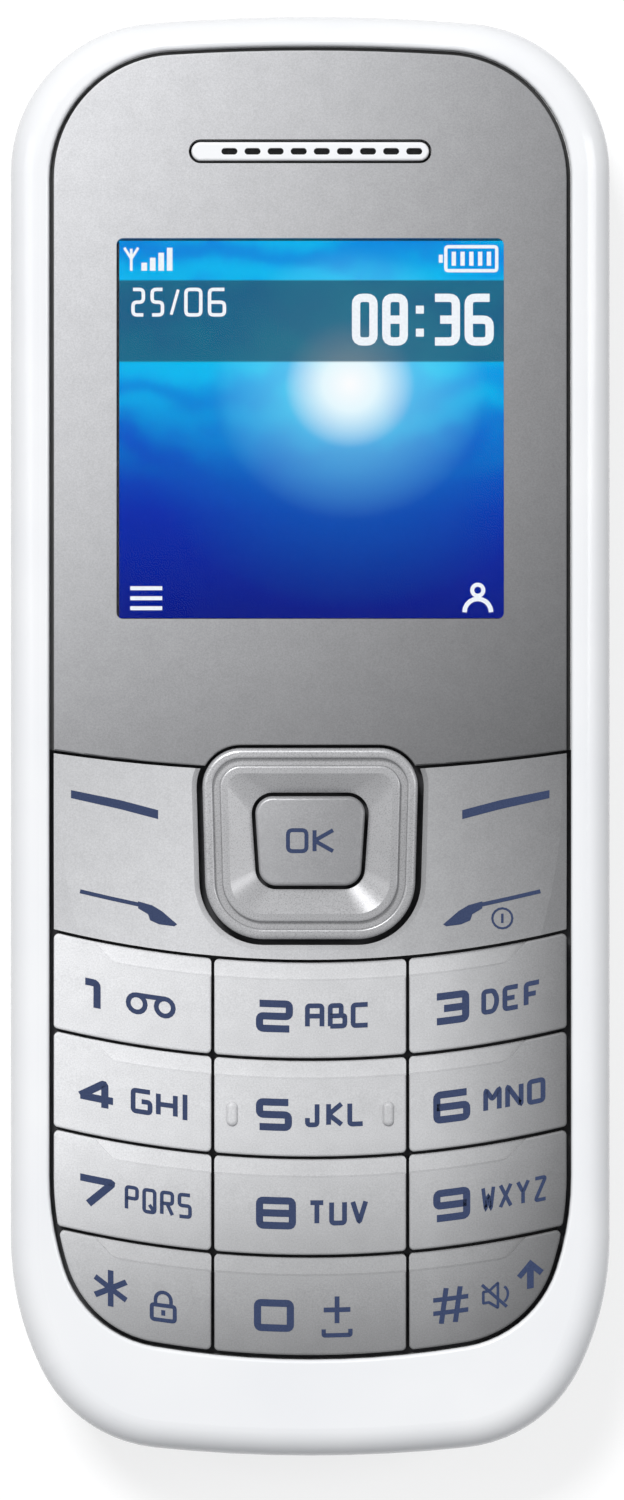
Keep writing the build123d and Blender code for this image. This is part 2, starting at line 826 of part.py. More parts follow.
def band_scoop(row):
    """What the band takes away: it slopes up from the upper edge and ends in a slanted step to the face."""
    start = row_radius
    end = row_radius + key_gap / 2 + band_width
    low_z = cap_top_z - cap_slope - band_depth
    end_z = cap_top_z - cap_slope - band_step
    high_z = cap_top_z + overrun
    lean = band_riser / band_step * (high_z - end_z)
    corners = [(start, low_z), (end - band_riser, end_z), (end - band_riser + lean, high_z), (start, high_z)]
    profile = make_face(Polyline(*corners, close=True))
    return turned_about_row(profile, row) & prism(band_area(row), cap_bottom_z, high_z)


def number_key(row, column):
    """One number key cap; the one in the middle of the pad has two raised marks."""
    cap = prism(key_area(row, column), cap_bottom_z, cap_top_z + overrun) & key_top(row)
    cap = fillet(top_face(cap).outer_wire().edges(), cap_round)
    cap -= band_scoop(row)
    if (row, column) == (1, 0):
        mark = Rot(0, 0, 90) * SlotOverall(marker_length, marker_width)
        for side in (-1, 1):
            raised = prism(mark, cap_bottom_z, cap_top_z + marker_height - cap_slope / 2)
            raised = fillet(highest_face(raised).edges(), marker_round)
            cap += Pos(side * marker_x, row_line(row) - marker_below_row) * raised
    return cap


def function_plate():
    """The U-shaped plate with the four function keys: it falls away beyond a crease on each side."""
    plate = prism(plate_area(0), plate_bottom_z, plate_top_z)
    height = plate_top_z - plate_bottom_z
    foot_radius = crease_radius + height * crease_run / crease_fall
    for side in (-1, 1):
        cone = Cone(foot_radius, crease_radius, height)
        plate &= Pos(-side * crease_centre_x, crease_centre_y, plate_bottom_z + height / 2) * cone
    hole = ring_area(plate_hole_gap)
    wide_hole = offset(hole, plate_hole_bevel)
    bevel = loft([Pos(0, 0, plate_top_z - plate_hole_bevel) * hole, Pos(0, 0, plate_top_z) * wide_hole], ruled=True)
    return plate - bevel


def function_pad():
    """The rubber pad under the function plate."""
    return prism(plate_area(plate_pad_inset), cap_bottom_z, cap_bottom_z + plate_pad_thickness)


def navigation_ring():
    """The raised ring: a rounded outer lip, a groove, a ridge and a dish that slopes down to the OK key."""
    ring = prism(ring_area(), ring_bottom_z, ring_top_z)
    ring = fillet(highest_face(ring).edges(), ring_round)
    groove_inset = ring_lip + ring_groove_width
    ridge_inset = groove_inset + ring_ridge
    ridge_z = ring_top_z - ring_ridge_drop
    ring -= prism(ring_area(-ring_lip), ring_top_z - ring_groove_depth, ring_top_z + overrun)
    ring = fillet(highest_face(ring).inner_wires()[0].edges(), ring_lip_round)
    ridge = prism(ring_area(-groove_inset), ring_bottom_z, ridge_z)
    ring += fillet(highest_face(ridge).edges(), ring_ridge_round)
    hole = ok_area(ok_gap)
    dish = loft([Pos(0, 0, ring_dish_floor_z) * hole, Pos(0, 0, ridge_z) * ring_area(-ridge_inset)], ruled=True)
    return ring - dish - prism(hole, ring_bottom_z - overrun, ring_top_z + overrun)


def navigation_pad():
    """The rubber pad under the navigation ring."""
    area = ring_area(-ring_pad_inset) - ok_area(ok_gap)
    return prism(area, cap_bottom_z, cap_bottom_z + ring_pad_thickness)


def ok_key():
    """The OK key, with a gently bulging face."""
    key = prism(ok_area(), cap_bottom_z, ok_top_z + overrun)
    key &= Pos(0, ok_y, ok_top_z - ok_bulge_radius) * Sphere(ok_bulge_radius)
    return fillet(top_face(key).edges(), ok_round)


def switch_points():
    """The places of all switches under the keypad."""
    points = [(0, ok_y), (navigation_reach, ok_y), (-navigation_reach, ok_y), (0, ok_y + navigation_reach),
              (0, ok_y - navigation_reach)]
    for side in (-1, 1):
        points += [(side * function_key_x, soft_key_y), (side * function_key_x, call_key_y)]
    for row in range(row_count):
        for column in (-1, 0, 1):
            centre = key_area(row, column).center()
            points.append((centre.X, centre.Y))
    return points


def keypad_mat():
    """The silicone mat: a sheet under all keys, a skirt that stands on the film and a nub over each switch."""
    mat = prism(keypad_area(mat_overlap), mat_bottom_z, cap_bottom_z)
    inner = keypad_area(mat_overlap - mat_skirt)
    mat += prism(keypad_area(mat_overlap) - inner, film_top_z, cap_bottom_z)
    for x, y in switch_points():
        mat += post(nub_radius, nub_bottom_z, mat_bottom_z, x, y)
    for x, y in screw_points():
        mat -= post(boss_radius + mat_boss_gap, film_top_z - overrun, cap_bottom_z + overrun, x, y)
    return mat


def dome_film():
    """The thin film that holds the domes on the board."""
    return prism(keypad_area(mat_overlap), board_top_z, film_top_z)


def key_domes():
    """The snap domes under the keys."""
    bend = (dome_radius**2 + dome_height**2) / (2 * dome_height)
    centre = Pos(0, 0, film_top_z + dome_height - bend)
    shell = centre * Sphere(bend) - centre * Sphere(bend - dome_thickness)
    dome = shell & post(dome_radius + dome_thickness, film_top_z, film_top_z + dome_height)
    return Compound([Pos(x, y) * dome for x, y in switch_points()])


def main_board():
    """The circuit board, with a notch for the charging socket and holes for the screws."""
    board = prism(OUTER.inset(front_wall + board_clearance).face(), board_bottom_z, board_top_z)
    notch_end = OUTER.bottom_y + socket_recess + socket_depth + socket_gap
    board -= block(socket_width + 2 * socket_gap, notch_end - OUTER.bottom_y, board_bottom_z - overrun,
                   board_top_z + overrun, 0, (notch_end + OUTER.bottom_y) / 2)
    for x, y in screw_points():
        board -= post(screw_passage_radius, board_bottom_z - overrun, board_top_z + overrun, x, y)
    return board


def shield_can(width, x):
    """A sheet-metal can on the back of the board."""
    can = block(width, can_length, board_bottom_z - can_height, board_bottom_z, x, can_y, can_corner)
    return can - block(width - 2 * can_wall, can_length - 2 * can_wall, board_bottom_z - can_height + can_wall,
                       board_bottom_z, x, can_y, can_corner - can_wall)


def main_can_x():
    """The middle of the large can: both cans together are centred."""
    return (radio_can_width + can_spacing) / 2


def radio_can_x():
    """The middle of the small can."""
    return -(main_can_width + can_spacing) / 2


def board_chips():
    """The chips inside the cans."""
    low = board_bottom_z - chip_height
    chips = [block(chip_side, chip_side, low, board_bottom_z,
                   main_can_x() + side * (chip_side + chip_spacing) / 2, can_y)
             for side in (-1, 1)]
    chips.append(block(radio_chip_side, radio_chip_side, low, board_bottom_z, radio_can_x(), can_y))
    return Compound(chips)


def display_frame():
    """The tray that holds the backlight and the display glass."""
    tray = block(module_width, module_length, board_top_z, board_top_z + module_depth, 0, module_y, module_corner)
    return tray - block(module_width - 2 * module_wall, module_length - 2 * module_wall, board_top_z + module_floor,
                        board_top_z + module_depth + overrun, 0, module_y)


def inside_frame(low, high):
    """A plate that fits inside the display frame."""
    room = 2 * (module_wall + module_fit)
    return block(module_width - room, module_length - room, low, high, 0, module_y)


def display_gasket():
    """The foam frame between the display glass and the shelf of the front housing."""
    room = 2 * (module_wall + module_fit)
    inner = room + 2 * gasket_width
    frame = block(module_width - room, module_length - room, glass_top_z, ceiling_z, 0, module_y)
    return frame - block(module_width - inner, module_length - inner, glass_top_z - overrun, ceiling_z + overrun, 0,
                         module_y)


def display_flex():
    """The flat cable that folds from the lower end of the glass down to the board."""
    end_y = module_y - module_length / 2
    high_z = board_top_z + module_depth / 2
    turn = (high_z - board_top_z) / 2
    bend_y = end_y - flex_reach + turn
    bend = Pos(bend_y, board_top_z + turn) * (Circle(turn) - Circle(turn - flex_thickness))
    bend &= Pos(bend_y - turn, board_top_z + turn) * Rectangle(2 * turn, 2 * turn)
    run = end_y - bend_y
    upper = Pos(bend_y + run / 2, high_z - flex_thickness / 2) * Rectangle(run, flex_thickness)
    lower = Pos(bend_y + run / 2, board_top_z + flex_thickness / 2) * Rectangle(run, flex_thickness)
    plane = Plane((-flex_width / 2, 0, 0), x_dir=(0, 1, 0), z_dir=(1, 0, 0))
    return extrude(plane * (bend + upper + lower), amount=flex_width)


def battery():
    """The battery, with three sunk terminals in its upper end."""
    pack = block(battery_width, battery_length, chassis_bottom_z, battery_top_z, 0, battery_y, battery_corner)
    pack = fillet(lowest_face(pack).edges() + highest_face(pack).edges(), battery_round)
    middle_z = (chassis_bottom_z + battery_top_z) / 2
    for number in range(terminal_count):
        x = (number - (terminal_count - 1) / 2) * terminal_pitch
        pack -= block(terminal_width, 2 * terminal_depth, middle_z - terminal_height / 2,
                      middle_z + terminal_height / 2, x, battery_end_y)
    return pack


def battery_connector():
    """The block on the board that carries the battery contacts."""
    return block(connector_width, connector_length, connector_bottom_z, board_bottom_z, 0, connector_y())


def battery_contacts():
    """The three spring contacts, which reach towards the battery."""
    middle_z = (chassis_bottom_z + battery_top_z) / 2
    face_y = battery_end_y + connector_gap
    contacts = []
    for number in range(terminal_count):
        x = (number - (terminal_count - 1) / 2) * terminal_pitch
        nose = Pos(x, face_y, middle_z) * Rot(0, 90, 0) * Cylinder(contact_height / 2, contact_width)
        nose &= block(connector_width, contact_reach, connector_bottom_z, board_bottom_z, 0,
                      face_y - contact_reach / 2)
        contacts.append(nose)
    return Compound(contacts)


def sim_card():
    """The SIM card, with its cut corner."""
    top_y = recess_end_y - holder_wall - card_clearance
    card = block(card_width, card_length, card_bottom_z, card_bottom_z + card_thickness, 0,
                 top_y - card_length / 2)
    upright = card.edges().filter_by(Axis.Z)
    corner = upright.sort_by(lambda edge: edge.center().X + edge.center().Y)[-1]
    return chamfer(corner, card_notch)


def sim_holder():
    """The sheet-metal bracket over the upper end of the SIM card."""
    middle_y = recess_end_y - holder_length / 2
    holder = block(holder_width, holder_length, holder_bottom_z, recess_top_z, 0, middle_y)
    holder -= block(card_width + 2 * card_clearance, holder_length, holder_bottom_z + holder_wall,
                    recess_top_z + overrun, 0, middle_y - holder_wall)
    return holder - block(holder_window_width, holder_window_length, holder_bottom_z - overrun,
                          holder_bottom_z + overrun, 0, middle_y)


def loudspeaker():
    """The loudspeaker: a basket with a rim towards the slots and a magnet behind."""
    rim_z = speaker_bottom_z + speaker_lip
    top_z = speaker_bottom_z + speaker_height - magnet_height
    speaker = post(speaker_radius, speaker_bottom_z, top_z, speaker_x, speaker_y)
    speaker += post(magnet_radius, top_z, top_z + magnet_height, speaker_x, speaker_y)
    return speaker - post(speaker_radius - speaker_gasket_width, speaker_bottom_z - overrun, rim_z, speaker_x,
                          speaker_y)


def loudspeaker_gasket():
    """The foam ring between the loudspeaker and the rear floor."""
    return tube(speaker_radius, speaker_radius - speaker_gasket_width, rear_floor, speaker_bottom_z, speaker_x,
                speaker_y)


def loudspeaker_mesh():
    """The dust mesh over the slots, inside the gasket."""
    return post(speaker_radius - speaker_gasket_width - speaker_ring_gap, rear_floor, rear_floor + mesh_thickness,
                speaker_x, speaker_y)


def vibration_motor():
    """The motor's can and its shaft."""
    start_y = motor_y - motor_length / 2
    end_y = motor_y + motor_length / 2
    return (level_rod(motor_radius, start_y, end_y, motor_x, motor_z)
            + level_rod(shaft_radius, end_y, end_y + shaft_length, motor_x, motor_z))


def motor_sleeve():
    """The rubber sleeve round the motor, flat underneath."""
    start_y = motor_y - sleeve_length / 2
    end_y = motor_y + sleeve_length / 2
    radius = motor_radius + sleeve_wall
    sleeve = level_rod(radius, start_y, end_y, motor_x, motor_z)
    return sleeve - level_rod(motor_radius, start_y - overrun, end_y + overrun, motor_x, motor_z)


def motor_weight():
    """The off-centre weight on the motor's shaft."""
    start_y = motor_y + motor_length / 2 + weight_gap
    end_y = start_y + weight_length
    weight = level_rod(weight_radius, start_y, end_y, motor_x, motor_z)
    hub = level_rod(shaft_radius + sleeve_wall, start_y, end_y, motor_x, motor_z)
    half = block(2 * weight_radius, weight_length, motor_z, motor_z + weight_radius, motor_x, (start_y + end_y) / 2)
    bore = level_rod(shaft_radius + shaft_clearance, start_y - overrun, end_y + overrun, motor_x, motor_z)
    return (weight & half) + hub - bore


def antenna_carrier():
    """The plastic block under the antenna sheet."""
    return block(antenna_width, antenna_depth, rear_floor, rear_floor + antenna_carrier_height, 0, antenna_y)


def antenna():
    """The antenna: a sheet cut into a meander, with two fingers up to the board."""
    low = rear_floor + antenna_carrier_height
    high = low + antenna_sheet
    sheet = block(antenna_width, antenna_depth, low, high, 0, antenna_y)
    for number in range(antenna_slot_count):
        x = (number - (antenna_slot_count - 1) / 2) * antenna_slot_pitch
        side = 1 if number % 2 else -1
        sheet -= block(antenna_slot_width, antenna_depth, low - overrun, high + overrun, x,
                       antenna_y + side * antenna_slot_end)
    for side in (-1, 1):
        finger_y = antenna_y - antenna_depth / 2 - antenna_sheet / 2
        sheet += block(antenna_finger_width, antenna_sheet, low, board_bottom_z - antenna_finger_gap,
                       side * antenna_finger_x, finger_y)
    return sheet


def socket_shell():
    """The metal shell of the charging socket, with two tabs that lie on the board."""
    start_y = OUTER.bottom_y + socket_recess
    end_y = start_y + socket_depth
    outside = RectangleRounded(socket_width, socket_height, socket_corner)
    shell = level_bar(outside, start_y, end_y, 0, socket_z)
    for side in (-1, 1):
        tab_x = side * (socket_width + socket_tab) / 2
        shell += block(socket_tab + socket_wall + socket_gap, socket_depth / 2, board_top_z,
                       board_top_z + socket_tab_thickness, tab_x, end_y - socket_depth / 4)
    inside = RectangleRounded(socket_width - 2 * socket_wall, socket_height - 2 * socket_wall,
                              socket_corner - socket_wall)
    return shell - level_bar(inside, start_y - overrun, end_y + overrun, 0, socket_z)


def socket_tongue():
    """The contact tongue of the charging socket and the block it stands on."""
    end_y = OUTER.bottom_y + socket_recess + socket_depth
    root = RectangleRounded(socket_width - 2 * socket_wall, socket_height - 2 * socket_wall,
                            socket_corner - socket_wall)
    root_bar = level_bar(root, end_y - tongue_root, end_y, 0, socket_z)
    tongue = block(tongue_width, tongue_depth + tongue_root, socket_z - tongue_thickness / 2,
                   socket_z + tongue_thickness / 2, 0, end_y - (tongue_depth + tongue_root) / 2)
    return root_bar + tongue


def microphone():
    """The microphone, which stands on the board."""
    return block(microphone_width, microphone_length, board_top_z, board_top_z + microphone_height, microphone_x,
                 microphone_y)


def microphone_boot():
    """The rubber boot over the microphone, with a channel towards the hole in the bottom edge."""
    boot = block(microphone_width + 2 * boot_wall, microphone_length + 2 * boot_wall, board_top_z,
                 board_top_z + microphone_height + boot_wall, microphone_x, microphone_y)
    boot -= block(microphone_width, microphone_length, board_top_z - overrun, board_top_z + microphone_height,
                  microphone_x, microphone_y)
    return boot - level_bar(Circle(microphone_hole_radius), microphone_y - microphone_length,
                            microphone_y, microphone_x, socket_z)


def housing_screws():
    """Six screws that clamp the two housings and the board."""
    head_low = screw_seat_z - screw_head_height
    screw = post(screw_head_radius, head_low, screw_seat_z)
    screw += post(screw_radius, screw_seat_z, board_top_z + screw_grip)
    for angle in (0, 90):
        cut = block(2 * screw_slot_width + screw_head_radius, screw_slot_width, head_low - overrun,
                    head_low + screw_slot_depth)
        screw -= Rot(0, 0, angle) * cut
    return Compound([Pos(x, y) * screw for x, y in screw_points()])


KEY_NAMES = [["key_1", "key_2", "key_3"], ["key_4", "key_5", "key_6"], ["key_7", "key_8", "key_9"],
             ["key_star", "key_0", "key_hash"]]


def build_parts():
    """Every sub-part by its name."""
    parts = {
        "front_housing": front_housing(),
        "rear_housing": rear_housing(),
        "battery_cover": battery_cover(),
        "front_panel": front_panel(),
        "display_window": display_window(),
        "panel_adhesive": panel_adhesive(),
        "earpiece_grille": earpiece_grille(),
        "earpiece_mesh": earpiece_mesh(),
        "earpiece_receiver": earpiece_receiver(),
        "function_plate": function_plate(),
        "function_pad": function_pad(),
        "navigation_ring": navigation_ring(),
        "navigation_pad": navigation_pad(),
        "ok_key": ok_key(),
        "keypad_mat": keypad_mat(),
        "dome_film": dome_film(),
        "key_domes": key_domes(),
        "main_board": main_board(),
        "main_shield_can": shield_can(main_can_width, main_can_x()),
        "radio_shield_can": shield_can(radio_can_width, radio_can_x()),
        "board_chips": board_chips(),
        "display_frame": display_frame(),
        "display_backlight": inside_frame(board_top_z + module_floor, glass_bottom_z),
        "display_glass": inside_frame(glass_bottom_z, glass_top_z),
        "display_gasket": display_gasket(),
        "display_flex": display_flex(),
        "battery": battery(),
        "battery_connector": battery_connector(),
        "battery_contacts": battery_contacts(),
        "sim_card": sim_card(),
        "sim_holder": sim_holder(),
        "loudspeaker": loudspeaker(),
        "loudspeaker_gasket": loudspeaker_gasket(),
        "loudspeaker_mesh": loudspeaker_mesh(),
        "vibration_motor": vibration_motor(),
        "motor_sleeve": motor_sleeve(),
        "motor_weight": motor_weight(),
        "antenna_carrier": antenna_carrier(),
        "antenna": antenna(),
        "socket_shell": socket_shell(),
        "socket_tongue": socket_tongue(),
        "microphone": microphone(),
        "microphone_boot": microphone_boot(),
        "housing_screws": housing_screws(),
    }
    for row in range(row_count):
        for column in (-1, 0, 1):
            parts[KEY_NAMES[row][column + 1]] = number_key(row, column)
    return parts


os.makedirs("parts", exist_ok=True)
for name, shape in build_parts().items():
    export_step(shape, f"parts/{name}.step")
    print(name, round(shape.volume, 2), len(shape.solids()))
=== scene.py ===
import json
import math

import bpy
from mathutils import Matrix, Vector
from mathutils.bvhtree import BVHTree


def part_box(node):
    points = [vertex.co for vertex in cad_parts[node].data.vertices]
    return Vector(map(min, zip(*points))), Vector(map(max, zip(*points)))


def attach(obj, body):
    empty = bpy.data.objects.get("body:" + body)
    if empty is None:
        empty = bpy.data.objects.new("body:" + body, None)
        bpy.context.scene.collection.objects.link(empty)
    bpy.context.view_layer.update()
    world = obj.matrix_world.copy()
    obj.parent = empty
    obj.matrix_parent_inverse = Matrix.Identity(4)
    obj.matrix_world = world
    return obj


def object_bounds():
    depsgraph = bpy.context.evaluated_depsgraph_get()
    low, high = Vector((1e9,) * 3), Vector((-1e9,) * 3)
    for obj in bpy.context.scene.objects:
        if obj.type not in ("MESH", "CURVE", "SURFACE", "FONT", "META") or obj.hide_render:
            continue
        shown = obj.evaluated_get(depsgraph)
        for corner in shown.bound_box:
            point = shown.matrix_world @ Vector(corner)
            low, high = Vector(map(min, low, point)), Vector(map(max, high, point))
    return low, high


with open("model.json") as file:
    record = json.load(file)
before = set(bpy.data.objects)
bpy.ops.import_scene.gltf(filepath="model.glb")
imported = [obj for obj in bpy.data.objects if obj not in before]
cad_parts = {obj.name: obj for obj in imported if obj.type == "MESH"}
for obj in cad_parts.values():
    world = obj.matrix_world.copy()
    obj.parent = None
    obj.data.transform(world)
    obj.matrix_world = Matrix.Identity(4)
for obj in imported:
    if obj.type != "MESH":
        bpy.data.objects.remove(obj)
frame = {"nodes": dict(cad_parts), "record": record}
cad_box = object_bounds()

# Lengths are in metres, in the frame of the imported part, unless a comment gives another unit.
MM = 0.001

WHITE = (1, 1, 1)
BLACK = (0, 0, 0)

# The photograph's frame: metres per pixel and the pixel over the origin
PIXEL = 0.075 * MM
ORIGIN_PX = 310.2
ORIGIN_PY = 736.2
FRAME_WIDTH_PX = 624
FRAME_HEIGHT_PX = 1500

# Camera: at the height of the phone's front its frame is as large as the photograph
LENS = 200.0
SENSOR = 36.0
FRONT_Z = 12.0 * MM

# Lamps: name, place, width, length and power in watts
LAMPS = [
    ("key_lamp", (-0.36, 0.74, 1.28), 0.4, 0.4, 18.0),
    ("left_lamp", (-0.9, 0.2, 0.9), 0.3, 0.8, 1.5),
    ("right_lamp", (0.9, 0.2, 0.9), 0.3, 0.8, 3.0),
]

# World and floor
WORLD_TINT = (0.90, 0.94, 1.0)
WORLD_STRENGTH = 0.25
FLOOR_SIZE = 8.0
FLOOR_DROP = 0.05 * MM
FLOOR_GREY = (0.30, 0.30, 0.30)
FLOOR_ROUGHNESS = 0.8
FLOOR_GLOW = 0.76

# Materials: where most of a noise's values lie, how far roughness strays, how deep grain and flakes are, and
# how much light the dimmer spots of a lit mark keep
NOISE_LOW = 0.3
NOISE_HIGH = 0.7
ROUGHNESS_SPREAD = 0.15
FLAKE_ROUGHNESS_SPREAD = 0.08
GRAIN_DEPTH = 0.02 * MM
FLAKE_DEPTH = 0.01 * MM
DIM_SHARE = 0.92

# A mix node's sockets for colours go by number, because its other kinds have the same names
MIX_FACTOR = 0
MIX_FIRST = 6
MIX_SECOND = 7
MIX_RESULT = 2

# Rows of number keys: the gap lines above them are arcs, one pitch apart; the first one's middle is at this Y
ROW_TOP_Y = -16.86 * MM
ROW_PITCH = 7.37 * MM
ROW_RADIUS = 82.0 * MM
LAST_ROW = 3

# Marks: how far they rise and sink, and how much higher each plate is than the one before it
INK_RISE = 0.012 * MM
PICTURE_RISE = 0.02 * MM
ICON_RISE = 0.03 * MM
INK_SINK = 0.01 * MM
INK_LAYER = 0.002 * MM

# Marks: the longest run between points, the parts of a corner and an arc, and the least cosine of a half turn
STEP = 0.35 * MM
CORNER_STEPS = 4
ARC_STEPS = 16
LEAST_COSINE = 0.5

# A height above the whole phone, and the height that a mark takes where its node isn't under it
ABOVE_ALL = 0.1
FALLBACK_Z = 13 * MM

# The display's picture: the pixel columns and rows of its edges
PICTURE_LEFT = 119
PICTURE_RIGHT = 504
PICTURE_HIGH = 240
PICTURE_LOW = 618

# In shares of the picture: the glow's centre, and the lower and upper edge of the strip, each with its fade
GLOW_CENTRE = (0.60, 0.62)
STRIP_FOOT = (0.677, 0.682)
STRIP_HEAD = (0.893, 0.898)
STRIP_COVER = 0.86


def pixel_x(px):
    """The X of a pixel column of the photograph."""
    return (px - ORIGIN_PX) * PIXEL


def pixel_y(py):
    """The Y of a pixel row of the photograph."""
    return (ORIGIN_PY - py) * PIXEL


# Camera, lamps and floor

def make_camera():
    """A long lens straight above the phone, as in the photograph."""
    data = bpy.data.cameras.new("camera")
    data.lens = LENS
    data.sensor_width = SENSOR
    height = FRAME_HEIGHT_PX * PIXEL
    distance = height / 2 / (SENSOR / 2 / LENS)
    camera = bpy.data.objects.new("camera", data)
    camera.location = (pixel_x(FRAME_WIDTH_PX / 2), pixel_y(FRAME_HEIGHT_PX / 2), FRONT_Z + distance)
    bpy.context.collection.objects.link(camera)
    bpy.context.scene.camera = camera


def make_lamp(name, place, width, length, power):
    """A soft lamp that points at the middle of the phone; its length runs along the phone."""
    data = bpy.data.lights.new(name, "AREA")
    data.shape = "RECTANGLE"
    data.size = width
    data.size_y = length
    data.energy = power
    lamp = bpy.data.objects.new(name, data)
    lamp.location = place
    lamp.rotation_mode = "QUATERNION"
    lamp.rotation_quaternion = Vector(place).to_track_quat("Z", "Y")
    bpy.context.collection.objects.link(lamp)


def seen(nodes, links):
    """One to camera, glossy and transmission rays, and nothing to the rest."""
    path = nodes.new("ShaderNodeLightPath")
    sight = path.outputs["Is Camera Ray"]
    for kind in ("Is Glossy Ray", "Is Transmission Ray"):
        either = nodes.new("ShaderNodeMath")
        either.operation = "MAXIMUM"
        links.new(sight, either.inputs[0])
        links.new(path.outputs[kind], either.inputs[1])
        sight = either.outputs[0]
    return sight


def make_world():
    """A pale world that lights softly and looks white."""
    world = bpy.data.worlds.new("world")
    world.use_nodes = True
    bpy.context.scene.world = world
    nodes, links = world.node_tree.nodes, world.node_tree.links
    nodes.clear()
    plain = nodes.new("ShaderNodeBackground")
    plain.inputs["Color"].default_value = (*WORLD_TINT, 1)
    plain.inputs["Strength"].default_value = WORLD_STRENGTH
    white = nodes.new("ShaderNodeBackground")
    white.inputs["Color"].default_value = (*WHITE, 1)
    mix = nodes.new("ShaderNodeMixShader")
    links.new(seen(nodes, links), mix.inputs[0])
    links.new(plain.outputs[0], mix.inputs[1])
    links.new(white.outputs[0], mix.inputs[2])
    out = nodes.new("ShaderNodeOutputWorld")
    links.new(mix.outputs[0], out.inputs[0])


def make_floor():
    """A plain floor that looks white, keeps the phone's soft shadow and throws little light back up."""
    bpy.ops.mesh.primitive_plane_add(size=FLOOR_SIZE, location=(0, 0, cad_box[0].z - FLOOR_DROP))
    floor = bpy.context.object
    floor.name = "floor"
    material = bpy.data.materials.new("floor")
    material.use_nodes = True
    nodes, links = material.node_tree.nodes, material.node_tree.links
    shader = nodes["Principled BSDF"]
    shader.inputs["Base Color"].default_value = (*FLOOR_GREY, 1)
    shader.inputs["Roughness"].default_value = FLOOR_ROUGHNESS
    shader.inputs["Specular IOR Level"].default_value = 0.0
    glow = nodes.new("ShaderNodeMath")
    glow.operation = "MULTIPLY"
    glow.inputs[1].default_value = FLOOR_GLOW
    links.new(seen(nodes, links), glow.inputs[0])
    shader.inputs["Emission Color"].default_value = (*WHITE, 1)
    links.new(glow.outputs[0], shader.inputs["Emission Strength"])
    floor.data.materials.append(material)


# Materials

